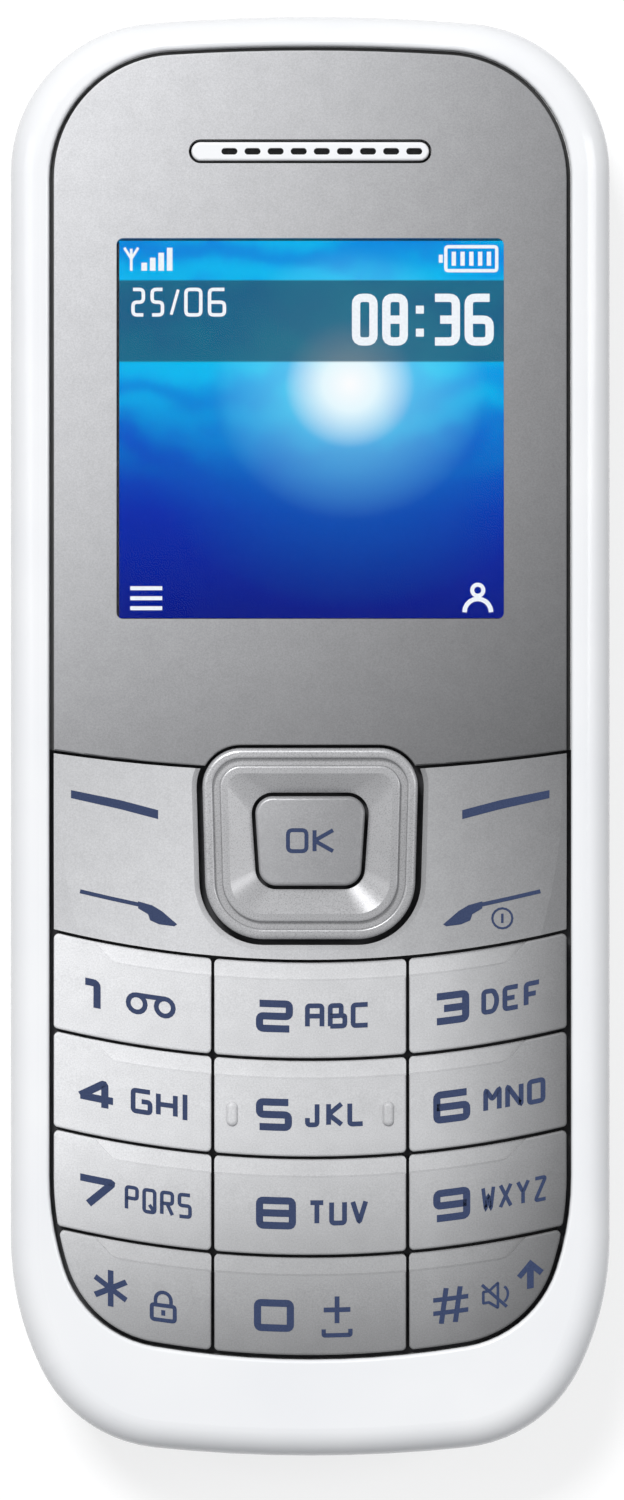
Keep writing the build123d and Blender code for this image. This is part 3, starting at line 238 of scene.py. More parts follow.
class Material:
    """A Principled material on object coordinates, with short calls for the nodes that it uses."""

    def __init__(self, name, roughness, metallic=0.0, coat=0.0, specular=0.5):
        self.material = bpy.data.materials.new(name)
        self.material.use_nodes = True
        self.nodes = self.material.node_tree.nodes
        self.links = self.material.node_tree.links
        self.shader = self.nodes["Principled BSDF"]
        self.place = self.nodes.new("ShaderNodeTexCoord").outputs["Object"]
        self.shader.inputs["Roughness"].default_value = roughness
        self.shader.inputs["Metallic"].default_value = metallic
        self.shader.inputs["Coat Weight"].default_value = coat
        self.shader.inputs["Specular IOR Level"].default_value = specular

    def noise(self, size, detail=2.0, stretch=(1, 1, 1), roughness=0.5):
        """Noise from 0 to 1 whose features are about size metres across."""
        mapping = self.nodes.new("ShaderNodeMapping")
        mapping.inputs["Scale"].default_value = stretch
        self.links.new(self.place, mapping.inputs["Vector"])
        noise = self.nodes.new("ShaderNodeTexNoise")
        noise.inputs["Scale"].default_value = 1 / size
        noise.inputs["Detail"].default_value = detail
        noise.inputs["Roughness"].default_value = roughness
        self.links.new(mapping.outputs[0], noise.inputs["Vector"])
        return noise.outputs[0]

    def span(self, value, low, high, from_low=0.0, from_high=1.0):
        """The value carried from one range to another, held inside it."""
        node = self.nodes.new("ShaderNodeMapRange")
        node.inputs["From Min"].default_value = from_low
        node.inputs["From Max"].default_value = from_high
        node.inputs["To Min"].default_value = low
        node.inputs["To Max"].default_value = high
        self.links.new(value, node.inputs["Value"])
        return node.outputs[0]

    def feed(self, socket, value):
        """Gives a socket a number, a colour or what another socket carries."""
        if isinstance(value, tuple):
            socket.default_value = (*value, 1)
        elif isinstance(value, (int, float)):
            socket.default_value = value
        else:
            self.links.new(value, socket)

    def math(self, operation, first, second):
        """One arithmetic step; either side is a socket or a number."""
        node = self.nodes.new("ShaderNodeMath")
        node.operation = operation
        self.feed(node.inputs[0], first)
        self.feed(node.inputs[1], second)
        return node.outputs[0]

    def axis(self, name):
        """The X, Y or Z of the surface's place."""
        node = self.nodes.new("ShaderNodeSeparateXYZ")
        self.links.new(self.place, node.inputs[0])
        return node.outputs[name]

    def tone(self, axis, stops):
        """A grey of painted light and shade that follows (place in mm, level) pairs along an axis."""
        low, high = stops[0][0], stops[-1][0]
        share = self.span(self.axis(axis), 0.0, 1.0, low * MM, high * MM)
        return self.ramp(share, [((place - low) / (high - low), (tone, tone, tone)) for place, tone in stops])

    def ramp(self, value, stops):
        """Colours along a value, as (position, colour) pairs."""
        node = self.nodes.new("ShaderNodeValToRGB")
        while len(node.color_ramp.elements) < len(stops):
            node.color_ramp.elements.new(1.0)
        for element, (position, colour) in zip(node.color_ramp.elements, stops):
            element.position = position
            element.color = (*colour, 1)
        self.links.new(value, node.inputs[0])
        return node.outputs[0]

    def mottle(self, noise, low, high):
        """Two colours that follow a noise."""
        return self.ramp(noise, [(NOISE_LOW, low), (NOISE_HIGH, high)])

    def spread(self, noise, low, high):
        """A noise carried to a range of values."""
        return self.span(noise, low, high, NOISE_LOW, NOISE_HIGH)

    def blend(self, kind, factor, first, second):
        """Two colours mixed; factor and the colours are sockets or values."""
        node = self.nodes.new("ShaderNodeMix")
        node.data_type = "RGBA"
        node.blend_type = kind
        self.feed(node.inputs[MIX_FACTOR], factor)
        self.feed(node.inputs[MIX_FIRST], first)
        self.feed(node.inputs[MIX_SECOND], second)
        return node.outputs[MIX_RESULT]

    def colour(self, value):
        """Sets the base colour to a socket."""
        self.links.new(value, self.shader.inputs["Base Color"])

    def roughness(self, value):
        """Sets the roughness to a socket."""
        self.links.new(value, self.shader.inputs["Roughness"])

    def bump(self, height, strength, distance):
        """Raises the surface by a height socket."""
        node = self.nodes.new("ShaderNodeBump")
        node.inputs["Strength"].default_value = strength
        node.inputs["Distance"].default_value = distance
        self.links.new(height, node.inputs["Height"])
        self.links.new(node.outputs[0], self.shader.inputs["Normal"])

    def glow(self, value):
        """Makes the surface black, lit by a colour socket."""
        self.shader.inputs["Base Color"].default_value = (*BLACK, 1)
        self.links.new(value, self.shader.inputs["Emission Color"])
        self.shader.inputs["Emission Strength"].default_value = 1.0


def grained(name, low, high, size, roughness, metallic=0.0, coat=0.0, bump=0.2, stretch=(1, 1, 1)):
    """A material whose colour, roughness and height follow one noise."""
    made = Material(name, roughness, metallic, coat)
    grain = made.noise(size, 3.0, stretch)
    made.colour(made.mottle(grain, low, high))
    made.roughness(made.spread(grain, roughness * (1 - ROUGHNESS_SPREAD), roughness * (1 + ROUGHNESS_SPREAD)))
    made.bump(grain, bump, GRAIN_DEPTH)
    return made.material


def white_paint(name):
    """Glossy white paint with the faintest orange peel."""
    made = Material(name, 0.25, coat=0.5, specular=0.3)
    made.shader.inputs["Coat Roughness"].default_value = 0.10
    cloud = made.noise(9 * MM)
    made.colour(made.mottle(cloud, (0.83, 0.835, 0.85), (0.865, 0.868, 0.875)))
    peel = made.noise(0.9 * MM)
    made.roughness(made.span(made.noise(2 * MM), 0.21, 0.29))
    made.bump(peel, 0.05, GRAIN_DEPTH)
    return made.material


def silver_paint_with_painted_light(name, bright, across, along, metallic=0.08, roughness=0.5):
    """Metallic paint with fine flakes; painted light and shade make its colour follow a few places across and
    along the phone.
    """
    made = Material(name, roughness, metallic, specular=0.12)
    flake = made.noise(0.11 * MM, roughness=0.7)
    sparkle = made.spread(flake, 0.88, 1.10)
    cloud = made.spread(made.noise(1.6 * MM, 3.0), 0.97, 1.03)
    # Painted light and shade: the colour is multiplied by greys across and along the phone
    painted_light_tint = made.blend("MULTIPLY", 1.0, bright, made.tone("X", across))
    painted_light_tint = made.blend("MULTIPLY", 1.0, painted_light_tint, made.tone("Y", along))
    made.colour(made.blend("MULTIPLY", 1.0, painted_light_tint, made.math("MULTIPLY", sparkle, cloud)))
    made.roughness(made.spread(flake, roughness - FLAKE_ROUGHNESS_SPREAD, roughness + FLAKE_ROUGHNESS_SPREAD))
    made.bump(flake, 0.10, FLAKE_DEPTH)
    return made.material


def clear_pane(name):
    """The clear window; its low index keeps its glare low."""
    made = Material(name, 0.02)
    made.shader.inputs["Transmission Weight"].default_value = 1.0
    made.shader.inputs["IOR"].default_value = 1.15
    made.colour(made.mottle(made.noise(12 * MM, 1.0), (0.97, 0.98, 0.99), (0.99, 0.99, 1.0)))
    return made.material


def ink(name, low, high):
    """Matt ink printed on the keys."""
    made = Material(name, 0.6, specular=0.1)
    grain = made.noise(0.12 * MM, 3.0)
    made.colour(made.mottle(grain, low, high))
    made.bump(grain, 0.05, GRAIN_DEPTH)
    return made.material


def lit(name, colour):
    """A lit part of the display, faintly mottled."""
    made = Material(name, 0.5, specular=0.0)
    dim = tuple(DIM_SHARE * c for c in colour)
    made.glow(made.mottle(made.noise(0.2 * MM, 1.0), dim, colour))
    return made.material


make_camera()
make_world()
make_floor()
for lamp in LAMPS:
    make_lamp(*lamp)

LOOKS = {
    "white_shell": white_paint("white_shell"),
    "white_trim": white_paint("white_trim"),
    # Painted light and shade on the silver panel and keys: lighter at the left and top, darker at the right
    # and bottom
    "silver_panel": silver_paint_with_painted_light("silver_panel", (0.70, 0.70, 0.715), [(-19.5, 1.0), (0, 0.70), (19.5, 0.36)],
                                 [(-3, 0.42), (20, 0.74), (52, 1.0)]),
    "silver_keys": silver_paint_with_painted_light("silver_keys", (0.76, 0.76, 0.77),
                                [(-20, 1.0), (0, 0.75), (9, 0.68), (19.5, 0.22)],
                                [(-47, 0.38), (-39, 0.66), (-30, 0.97), (-18, 1.0)]),
    "clear_window": clear_pane("clear_window"),
    "dark_mesh": grained("dark_mesh", (0.004, 0.004, 0.004), (0.03, 0.03, 0.03), 0.15 * MM, 0.8, bump=0.6),
    # The adhesive and the silicone mat are dark grey, a painted shade for the seam round the panel and the
    # gaps between the keys
    "adhesive": grained("adhesive", (0.030, 0.030, 0.030), (0.045, 0.045, 0.045), 0.5 * MM, 0.8),
    "silicone": grained("silicone", (0.045, 0.045, 0.048), (0.060, 0.060, 0.065), 1.5 * MM, 0.8),
    "film": grained("film", (0.55, 0.55, 0.50), (0.62, 0.62, 0.57), 2 * MM, 0.3),
    "dome_steel": grained("dome_steel", (0.55, 0.55, 0.55), (0.66, 0.66, 0.66), 0.3 * MM, 0.3, 1.0),
    "board": grained("board", (0.01, 0.07, 0.03), (0.02, 0.12, 0.05), 1.2 * MM, 0.35, coat=0.3),
    "shield_steel": grained("shield_steel", (0.50, 0.50, 0.51), (0.62, 0.62, 0.63), 0.5 * MM, 0.32, 1.0,
                            stretch=(0.2, 1, 1)),
    "chip": grained("chip", (0.012, 0.012, 0.013), (0.022, 0.022, 0.024), 0.1 * MM, 0.6),
    "module_frame": grained("module_frame", (0.68, 0.68, 0.67), (0.74, 0.74, 0.73), 0.6 * MM, 0.5),
    "display": grained("display", (0.005, 0.006, 0.010), (0.008, 0.010, 0.016), 4 * MM, 0.15),
    "foam": grained("foam", (0.008, 0.008, 0.008), (0.02, 0.02, 0.02), 0.15 * MM, 0.95, bump=0.8),
    "flex": grained("flex", (0.30, 0.11, 0.01), (0.38, 0.15, 0.02), 0.8 * MM, 0.3),
    "black_plastic": grained("black_plastic", (0.010, 0.010, 0.011), (0.018, 0.018, 0.020), 0.2 * MM, 0.55),
    "battery_wrap": grained("battery_wrap", (0.060, 0.065, 0.075), (0.080, 0.085, 0.095), 0.3 * MM, 0.38),
    "contact_gold": grained("contact_gold", (0.70, 0.45, 0.12), (0.80, 0.55, 0.18), 0.2 * MM, 0.25, 1.0),
    "card": grained("card", (0.70, 0.70, 0.68), (0.76, 0.76, 0.74), 0.4 * MM, 0.45),
    "motor_steel": grained("motor_steel", (0.42, 0.42, 0.43), (0.52, 0.52, 0.53), 0.4 * MM, 0.3, 1.0,
                           stretch=(1, 0.2, 1)),
    "tungsten": grained("tungsten", (0.10, 0.10, 0.10), (0.15, 0.15, 0.15), 0.2 * MM, 0.5, 0.9),
    "antenna_metal": grained("antenna_metal", (0.50, 0.42, 0.26), (0.60, 0.50, 0.32), 0.3 * MM, 0.32, 1.0),
    "screw_steel": grained("screw_steel", (0.05, 0.05, 0.05), (0.09, 0.09, 0.09), 0.15 * MM, 0.4, 0.9),
}

# Nodes with their own painted light and shade: each paint is lighter to the left, darker to the right, and
# graded up and down
NODE_LOOKS_WITH_PAINTED_LIGHT = {
    "function_plate": silver_paint_with_painted_light("function_paint_with_painted_light", (0.62, 0.62, 0.63),
                                   [(-20, 0.92), (-9, 1.0), (9, 0.62), (19.5, 0.34)],
                                   [(-17, 1.0), (0, 0.85)]),
    "navigation_ring": silver_paint_with_painted_light("ring_paint_with_painted_light", (0.46, 0.46, 0.47), [(-8.5, 1.0), (0, 0.85), (8.5, 0.85)],
                                    [(-16, 0.90), (-8, 0.86), (0, 1.0)], 0.35, 0.30),
    "ok_key": silver_paint_with_painted_light("ok_paint_with_painted_light", (0.40, 0.40, 0.41), [(-5, 1.0), (0, 0.82), (5, 0.70)],
                           [(-13, 1.0), (-3, 0.85)], 0.25, 0.36),
}


def paint_nodes():
    """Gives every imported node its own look, or else the look of its material slot."""
    for part in frame["record"]["subparts"]:
        node = frame["nodes"][part["node"]]
        for slot in node.material_slots:
            slot.material = NODE_LOOKS_WITH_PAINTED_LIGHT.get(part["node"], LOOKS[part["material_slot"]])


# Flat marks: strokes turned into thin ribbons that lie on a node's surface

class Surface:
    """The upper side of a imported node, to lay things on."""

    def __init__(self, node):
        mesh = frame["nodes"][node].data
        corners = [v.co.copy() for v in mesh.vertices]
        faces = [tuple(p.vertices) for p in mesh.polygons]
        self.tree = BVHTree.FromPolygons(corners, faces)

    def height(self, x, y):
        """How high the node is at a place, or the fallback where it isn't there."""
        hit = self.tree.ray_cast(Vector((x, y, ABOVE_ALL)), Vector((0, 0, -1)))[0]
        return hit.z if hit else FALLBACK_Z


class Flat:
    """A level surface at one height."""

    def __init__(self, z):
        self.z = z

    def height(self, x, y):
        """Its height, which is the same everywhere."""
        return self.z


def rounded(points, radius, closed=False):
    """A polyline with its corners rounded."""
    made = []
    count = len(points)
    for number, point in enumerate(points):
        point = Vector(point)
        if not closed and number in (0, count - 1):
            made.append(point)
            continue
        before = Vector(points[number - 1]) - point
        after = Vector(points[(number + 1) % count]) - point
        cut = min(radius, before.length / 2, after.length / 2)
        start = point + before.normalized() * cut
        end = point + after.normalized() * cut
        for step in range(CORNER_STEPS + 1):
            t = step / CORNER_STEPS
            made.append(start * (1 - t) ** 2 + point * 2 * t * (1 - t) + end * t ** 2)
    return made


def arc(centre_x, centre_y, radius, start, end, steps=ARC_STEPS):
    """Points along part of a circle, by angles in degrees."""
    angles = [math.radians(start + (end - start) * n / steps) for n in range(steps + 1)]
    return [(centre_x + radius * math.cos(angle), centre_y + radius * math.sin(angle)) for angle in angles]


def circle(centre_x, centre_y, radius):
    """Points round a whole circle."""
    return arc(centre_x, centre_y, radius, 0, 360)[:-1]


def divided(points, closed):
    """The polyline with its long runs divided."""
    ends = points[1:] + points[:1] if closed else points[1:]
    made = []
    for start, end in zip(points, ends):
        pieces = max(1, math.ceil((end - start).length / STEP))
        made += [start.lerp(end, n / pieces) for n in range(pieces)]
    return made if closed else made + [points[-1]]


class Marks:
    """Strokes and areas gathered into one thin mesh on a surface."""

    def __init__(self, name, bend, surface, rise=INK_RISE):
        self.name = name
        self.bend = bend
        self.surface = surface
        self.rise = rise
        self.vertices = []
        self.faces = []

    def put(self, point, level):
        """Adds a vertex at the given level above the surface."""
        x, y = self.bend(point[0], point[1])
        self.vertices.append((x, y, self.surface.height(x, y) + level))
        return len(self.vertices) - 1

    def plate(self, rings, closed):
        """A closed thin plate from cross-rows of (left, right) points, a little above the plate before it."""
        self.rise += INK_LAYER
        loops = []
        for left, right in rings:
            loops.append((self.put(left, self.rise), self.put(right, self.rise),
                          self.put(right, -INK_SINK), self.put(left, -INK_SINK)))
        count = len(loops)
        for number in range(count if closed else count - 1):
            a, b = loops[number], loops[(number + 1) % count]
            for side in range(4):
                other = (side + 1) % 4
                self.faces.append((a[side], a[other], b[other], b[side]))
        if not closed:
            self.faces.append(loops[0][::-1])
            self.faces.append(loops[-1])

    def stroke(self, points, width, closed=False):
        """A ribbon along a polyline, which keeps its width round a corner."""
        points = divided([Vector(p) for p in points], closed)
        count = len(points)
        rings = []
        for number, point in enumerate(points):
            if closed:
                before, after = points[number - 1], points[(number + 1) % count]
            else:
                before, after = points[max(number - 1, 0)], points[min(number + 1, count - 1)]
            along = (after - before).normalized()
            first = (point - before).normalized() if (point - before).length else along
            side = Vector((-along.y, along.x))
            half = width / 2 * (1 / max(LEAST_COSINE, along.dot(first)))
            rings.append((point + side * half, point - side * half))
        self.plate(rings, closed)

    def area(self, upper, lower):
        """A filled area between an upper and a lower line with as many points."""
        self.plate([(Vector(a), Vector(b)) for a, b in zip(upper, lower)], False)

    def finish(self, body, look):
        """Makes the mesh and sets it on its body."""
        mesh = bpy.data.meshes.new(self.name)
        mesh.from_pydata(self.vertices, [], self.faces)
        mesh.update()
        piece = bpy.data.objects.new(self.name, mesh)
        bpy.context.collection.objects.link(piece)
        mesh.materials.append(look)
        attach(piece, body)


# A squarish alphabet: each glyph is strokes on a grid, as pairs of a column and a row; the I is a plain stroke
GLYPH_COLUMNS = 4
GLYPH_ROWS = 6
NARROW_SHARE = 0.35
GLYPHS = {
    "0": "00 40 46 06 00", "1": "06 46 40", "2": "06 46 43 03 00 40", "3": "06 46 40 00|43 13",
    "4": "30 36 02|02 42", "5": "46 06 03 43 40 00", "6": "46 06 00 40 43 03", "7": "06 46 10",
    "8": "00 40 46 06 00|03 43", "9": "43 03 06 46 40 00",
    "A": "00 06 46 40|03 43", "B": "00 06 36 35 33 03|33 43 40 00", "C": "46 06 00 40",
    "D": "00 06 36 44 42 30 00", "E": "46 06 00 40|03 33", "F": "46 06 00|03 33", "G": "46 06 00 40 43 23",
    "H": "00 06|40 46|03 43", "J": "36 30 00 02", "K": "00 06|46 03|03 40", "L": "06 00 40",
    "M": "00 06 23 46 40", "N": "00 06 40 46", "O": "00 40 46 06 00", "P": "00 06 46 43 03",
    "Q": "00 40 46 06 00|22 40", "R": "00 06 46 43 03|23 40", "S": "46 06 03 43 40 00", "T": "06 46|26 20",
    "U": "06 00 40 46", "V": "06 20 46", "W": "06 10 24 30 46", "X": "00 46|06 40", "Y": "06 23 46|23 20",
    "Z": "06 46 00 40",
}


def glyph_lines(letter, left, base, width, height, radius):
    """The strokes of a glyph, each a list of points and whether it is closed."""
    for part in GLYPHS[letter].split("|"):
        points = [(left + int(column) * width / GLYPH_COLUMNS, base + int(row) * height / GLYPH_ROWS)
                  for column, row in part.split()]
        closed = points[0] == points[-1]
        if closed:
            points = points[:-1]
        yield rounded(points, radius, closed), closed


def write(marks, text, left, right, base, top, width, gap, radius):
    """Letters spread between left and right; a narrow letter takes less room."""
    shares = [NARROW_SHARE if letter == "I" else 1.0 for letter in text]
    room = right - left - gap * (len(text) - 1)
    place = left
    for letter, share in zip(text, shares):
        size = room * share / sum(shares)
        if letter == "I":
            marks.stroke([(place + size / 2, base), (place + size / 2, top)], width)
        else:
            for points, closed in glyph_lines(letter, place + width / 2, base + width / 2, size - width,
                                              top - base - width, radius):
                marks.stroke(points, width, closed)
        place += size + gap


def row_bend(row):
    """Shears a flat place onto a row: its X stays, and its height is measured from the row's arc."""
    centre_y = ROW_TOP_Y - row * ROW_PITCH + ROW_RADIUS

    def bend(x, up):
        return x, centre_y - math.sqrt(ROW_RADIUS ** 2 - x ** 2) + up
    return bend


LEGEND_INK = ink("legend_ink", (0.032, 0.046, 0.105), (0.045, 0.064, 0.135))

# Digits and letters: their heights are measured from the arc above the key's row
DIGIT_TOP = -2.95 * MM
DIGIT_BASE = -5.35 * MM
DIGIT_STROKE = 0.54 * MM
DIGIT_CORNER = 0.3 * MM
LETTER_TOP = -3.15 * MM
LETTER_BASE = -5.05 * MM
LETTER_STROKE = 0.36 * MM
LETTER_CORNER = 0.22 * MM
LETTER_GAP = 0.26 * MM
CLOSE_LETTERS = 4
CLOSE_LETTER_STROKE = 0.27 * MM
LAST_ROW_DROP = -0.3 * MM

# Key, row, digit with its pixel columns, letters with their pixel columns
LEGENDS = [
    ("key_1", 0, "1", 82, 101, "", 0, 0), ("key_2", 0, "2", 256, 293, "ABC", 305, 370),
    ("key_3", 0, "3", 433, 469, "DEF", 481, 541), ("key_4", 1, "4", 77, 117, "GHI", 131, 189),
    ("key_5", 1, "5", 256, 292, "JKL", 305, 365), ("key_6", 1, "6", 433, 470, "MNO", 483, 545),
    ("key_7", 2, "7", 77, 117, "PQRS", 125, 192), ("key_8", 2, "8", 256, 296, "TUV", 308, 368),
    ("key_9", 2, "9", 433, 470, "WXYZ", 481, 547), ("key_0", 3, "0", 254, 294, "", 0, 0),
    ("key_star", 3, "", 0, 0, "", 0, 0), ("key_hash", 3, "", 0, 0, "", 0, 0),
]


def voicemail_sign(marks):
    """Two reels joined by a line along their tops."""
    radius, centre_y = 0.64 * MM, -4.18 * MM
    left, right = pixel_x(137), pixel_x(165)
    for centre_x in (left, right):
        marks.stroke(circle(centre_x, centre_y, radius), LETTER_STROKE, True)
    marks.stroke([(left, centre_y + radius), (right, centre_y + radius)], LETTER_STROKE)


def star_sign(marks):
    """A star of six arms."""
    centre_x, centre_y = pixel_x(111), -3.75 * MM
    reach, width = 1.35 * MM, 0.42 * MM
    for angle in (30, 90, 150):
        step_x = reach * math.cos(math.radians(angle))
        step_y = reach * math.sin(math.radians(angle))
        marks.stroke([(centre_x - step_x, centre_y - step_y), (centre_x + step_x, centre_y + step_y)], width)


def lock_sign(marks):
    """A closed padlock."""
    left, right = pixel_x(152), pixel_x(175)
    base, top = -5.5 * MM, -4.4 * MM
    width, corner = 0.3 * MM, 0.2 * MM
    body = [(left, base), (right, base), (right, top), (left, top)]
    marks.stroke(rounded(body, corner, True), width, True)
    middle = (left + right) / 2
    bow_radius, bow_rise, bow_width = 0.58 * MM, 0.4 * MM, 0.27 * MM
    bow = arc(middle, top + bow_rise, bow_radius, 0, 180, 10)
    marks.stroke([(middle + bow_radius, top)] + bow + [(middle - bow_radius, top)], bow_width)
    margin = 0.35 * MM
    marks.stroke([(middle, base + margin), (middle, top - margin)], width)


def plus_sign(marks):
    """A plus over a space bar's bracket."""
    middle, centre_y, reach = pixel_x(337), -4.0 * MM, 1.0 * MM
    marks.stroke([(middle - reach, centre_y), (middle + reach, centre_y)], LETTER_STROKE)
    marks.stroke([(middle, centre_y - reach), (middle, centre_y + reach)], LETTER_STROKE)
    low, rise, corner, width = -5.9 * MM, 0.45 * MM, 0.1 * MM, LETTER_STROKE * 0.9
    bracket = [(middle - reach, low + rise), (middle - reach, low), (middle + reach, low),
               (middle + reach, low + rise)]
    marks.stroke(rounded(bracket, corner), width)


def hash_sign(marks):
    """A hash sign with leaning uprights."""
    left, right, centre_y = pixel_x(433), pixel_x(468), -4.3 * MM
    middle, size = (left + right) / 2, (right - left) / 2
    lean, upright_share, upright_width = 0.18 * MM, 0.4, 0.38 * MM
    bar_share, bar_width = 0.38, 0.34 * MM
    for side in (-1, 1):
        x = middle + side * size * upright_share
        marks.stroke([(x - lean, centre_y - size), (x + lean, centre_y + size)], upright_width)
        y = centre_y + side * size * bar_share
        marks.stroke([(left, y), (right, y)], bar_width)


def silent_sign(marks):
    """A small loudspeaker with a line through it and a sound wave."""
    left, centre_y, half = pixel_x(483), -4.1 * MM, 0.42 * MM
    neck, mouth, flare, corner = left + half, left + 2.6 * half, 2.2 * half, 0.05 * MM
    horn = [(left, centre_y - half), (neck, centre_y - half), (mouth, centre_y - flare),
            (mouth, centre_y + flare), (neck, centre_y + half), (left, centre_y + half)]
    marks.stroke(rounded(horn, corner, True), 0.2 * MM, True)
    start, end, drop = left - 0.1 * MM, left + 4.2 * half, 2.3 * half
    marks.stroke([(start, centre_y + drop), (end, centre_y - drop)], 0.22 * MM)
    marks.stroke(arc(mouth, centre_y, 0.75 * MM, -50, 50, 8), 0.18 * MM)


def shift_sign(marks):
    """An upward arrow."""
    middle, low, high = pixel_x(530), -4.05 * MM, -2.2 * MM
    wing, stem_gap, stem_width, wing_width = 0.85 * MM, 0.2 * MM, 0.5 * MM, 0.42 * MM
    marks.stroke([(middle, low), (middle, high - stem_gap)], stem_width)
    marks.stroke([(middle - wing, high - wing), (middle, high), (middle + wing, high - wing)], wing_width)


SIGNS = {
    "key_1": (voicemail_sign,), "key_star": (star_sign, lock_sign), "key_0": (plus_sign,),
    "key_hash": (hash_sign, silent_sign, shift_sign),
}


def key_legends():
    """The printed marks of all number keys."""
    for key, row, digit, left, right, letters, letters_left, letters_right in LEGENDS:
        marks = Marks(key + "_legend", row_bend(row), Surface(key))
        drop = LAST_ROW_DROP if row == LAST_ROW else 0.0
        if digit:
            write(marks, digit, pixel_x(left), pixel_x(right), DIGIT_BASE + drop, DIGIT_TOP + drop,
                  DIGIT_STROKE, 0.0, DIGIT_CORNER)
        if letters:
            stroke = LETTER_STROKE if len(letters) < CLOSE_LETTERS else CLOSE_LETTER_STROKE
            write(marks, letters, pixel_x(letters_left), pixel_x(letters_right), LETTER_BASE, LETTER_TOP,
                  stroke, LETTER_GAP, LETTER_CORNER)
        for sign in SIGNS.get(key, ()):
            sign(marks)
        marks.finish(key, LEGEND_INK)


def flat(x, y):
    """No bend."""
    return x, y


def in_pixels(places, side=1):
    """Pixel places of the photograph in metres; side -1 mirrors them."""
    return [(side * pixel_x(px), pixel_y(py)) for px, py in places]


def label(marks, text, left, right, base, top, width, gap, corner):
    """Text between pixel columns and rows; the other sizes are in mm."""
    write(marks, text, pixel_x(left), pixel_x(right), pixel_y(base), pixel_y(top), width * MM, gap * MM,
          corner * MM)


def line(marks, places, width):
    """A stroke through pixel places; its width is in mm."""
    marks.stroke(in_pixels(places), width * MM)


# Marks of the right-hand function keys, in pixel places; the left-hand ones mirror them
SOFT_KEY_BAR_UPPER = [(462, 810), (500, 800), (549, 790)]
SOFT_KEY_BAR_LOWER = [(462, 819), (500, 809), (549, 798)]
HANDSET_STEM = [(540, 891), (510, 898), (478, 905)]
HANDSET_UPPER = [(482, 901), (468, 905), (458, 911), (450, 918), (443, 924)]
HANDSET_LOWER = [(482, 908), (472, 914), (470, 920), (461, 924), (446, 926)]


def function_marks():
    """The marks of the four function keys: two bars, two handsets and the power sign."""
    marks = Marks("function_marks", flat, Surface("function_plate"))
    for side in (-1, 1):
        marks.area(in_pixels(SOFT_KEY_BAR_UPPER, side), in_pixels(SOFT_KEY_BAR_LOWER, side))
        marks.stroke(in_pixels(HANDSET_STEM, side), 0.30 * MM)
        marks.area(in_pixels(HANDSET_UPPER, side), in_pixels(HANDSET_LOWER, side))
    centre_x, centre_y = pixel_x(502), pixel_y(918)
    radius, reach = 0.75 * MM, 0.35 * MM
    marks.stroke(circle(centre_x, centre_y, radius), 0.16 * MM, True)
    marks.stroke([(centre_x, centre_y - reach), (centre_x, centre_y + reach)], 0.18 * MM)
    marks.finish("function_plate", LEGEND_INK)


def ok_mark():
    """OK on the middle key."""
    marks = Marks("ok_mark", flat, Surface("ok_key"))
    label(marks, "OK", 286, 335, 853, 828, 0.30, 0.30, 0.35)
    marks.finish("ok_key", LEGEND_INK)


# The display's picture, seen through the window

def picture_material():
    """A blue field that deepens downwards, with a glow, gentle waves and a darker strip behind the time."""
    made = Material("picture", 0.4, specular=0.0)
    across = made.span(made.axis("X"), 0.0, 1.0, pixel_x(PICTURE_LEFT), pixel_x(PICTURE_RIGHT))
    up = made.span(made.axis("Y"), 0.0, 1.0, pixel_y(PICTURE_LOW), pixel_y(PICTURE_HIGH))
    wave = made.nodes.new("ShaderNodeTexWave")
    wave.bands_direction = "Y"
    for name, value in (("Scale", 60.0), ("Distortion", 11.0), ("Detail", 4.0), ("Detail Scale", 1.6)):
        wave.inputs[name].default_value = value
    made.links.new(made.place, wave.inputs["Vector"])
    field = made.ramp(up, [(0.0, (0.0, 0.006, 0.23)), (0.28, (0.0, 0.020, 0.40)), (0.48, (0.0, 0.085, 0.56)),
                           (0.64, (0.0, 0.28, 0.76)), (0.88, (0.0, 0.27, 0.76)), (1.0, (0.0, 0.22, 0.72))])
    ripple = made.math("MULTIPLY", wave.outputs["Fac"], made.span(up, 0.0, 0.75, 0.36, 0.66))
    field = made.blend("SCREEN", ripple, field, (0.0, 0.34, 0.50))
    offsets = [made.math("SUBTRACT", share, centre) for share, centre in zip((across, up), GLOW_CENTRE)]
    squares = [made.math("MULTIPLY", offset, offset) for offset in offsets]
    reach = made.math("SQRT", made.math("ADD", *squares), 0.0)
    glow = made.ramp(reach, [(0.0, WHITE), (0.07, (0.80, 0.93, 1.0)), (0.17, (0.08, 0.34, 0.45)),
                             (0.36, (0.0, 0.05, 0.08)), (0.6, BLACK)])
    field = made.blend("SCREEN", 1.0, field, glow)
    foot = made.span(up, 0.0, 1.0, *STRIP_FOOT)
    head = made.span(up, 1.0, 0.0, *STRIP_HEAD)
    strip = made.math("MULTIPLY", made.math("MULTIPLY", foot, head), STRIP_COVER)
    made.glow(made.blend("MIX", strip, field, (0.010, 0.085, 0.15)))
    return made.material


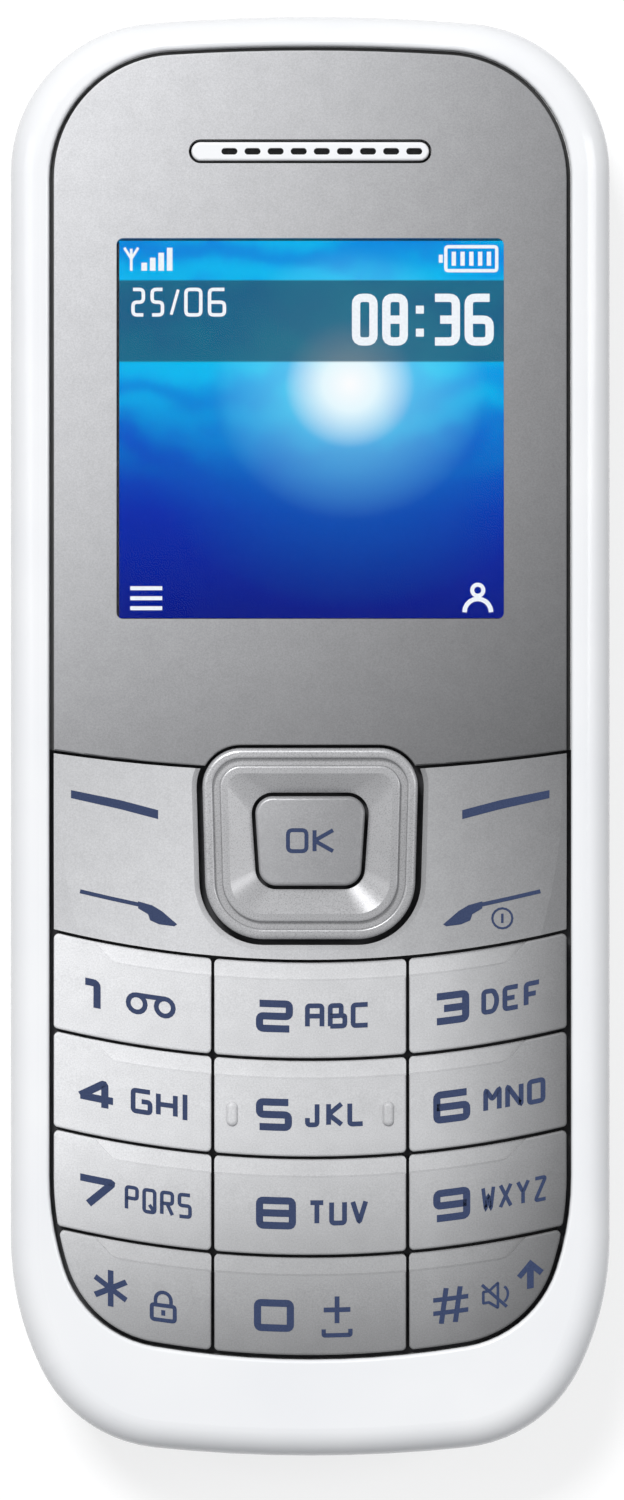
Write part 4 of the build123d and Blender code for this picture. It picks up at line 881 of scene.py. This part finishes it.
def time_and_date(icons):
    """The time, and the date to the left of it."""
    for text, left, right in (("08", 352, 408), ("36", 431, 494)):
        label(icons, text, left, right, 345, 293, 0.62, 0.35, 0.5)
    for row in (309, 332):
        line(icons, [(416, row), (424, row)], 0.6)
    for text, left, right in (("25", 131, 164), ("06", 184, 226)):
        label(icons, text, left, right, 316, 287, 0.26, 0.4, 0.3)
    line(icons, [(171, 314), (178, 289)], 0.22)


def signal_and_battery(icons):
    """Four bars beside an aerial, and a full battery."""
    for number in range(4):
        column = 144 + number * 8.5
        line(icons, [(column, 270), (column, 262 - number * 5)], 0.42)
    line(icons, [(131, 270), (131, 248)], 0.2)
    line(icons, [(124, 247), (131, 258), (138, 247)], 0.2)
    case = in_pixels([(446, 246), (497, 246), (497, 270), (446, 270)])
    icons.stroke(rounded(case, 0.2 * MM, True), 0.25 * MM, True)
    line(icons, [(441, 254), (441, 262)], 0.3)
    for number in range(5):
        column = 454 + number * 8.8
        line(icons, [(column, 251), (column, 265)], 0.32)


def list_and_person(icons):
    """A list at the left foot of the picture and a person at the right."""
    for number in range(3):
        row = 588 + number * 10
        line(icons, [(130, row), (162, row)], 0.3)
    person_x = pixel_x(478)
    icons.stroke(circle(person_x, pixel_y(590), 0.42 * MM), 0.3 * MM, True)
    icons.stroke(arc(person_x, pixel_y(612), 1.0 * MM, 0, 180, 10), 0.34 * MM)


def picture():
    """The lit area of the display and what it shows."""
    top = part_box("display_glass")[1].z
    sheet = Marks("display_picture", flat, Flat(top), PICTURE_RISE)
    sheet.area(in_pixels([(PICTURE_LEFT, PICTURE_HIGH), (PICTURE_RIGHT, PICTURE_HIGH)]),
               in_pixels([(PICTURE_LEFT, PICTURE_LOW), (PICTURE_RIGHT, PICTURE_LOW)]))
    sheet.finish("housing", picture_material())
    icons = Marks("display_icons", flat, Flat(top), ICON_RISE)
    time_and_date(icons)
    signal_and_battery(icons)
    list_and_person(icons)
    icons.finish("housing", lit("lit_white", (0.92, 0.96, 1.0)))


paint_nodes()
key_legends()
function_marks()
ok_mark()
picture()

scene = bpy.context.scene
scene.view_settings.view_transform = "Standard"
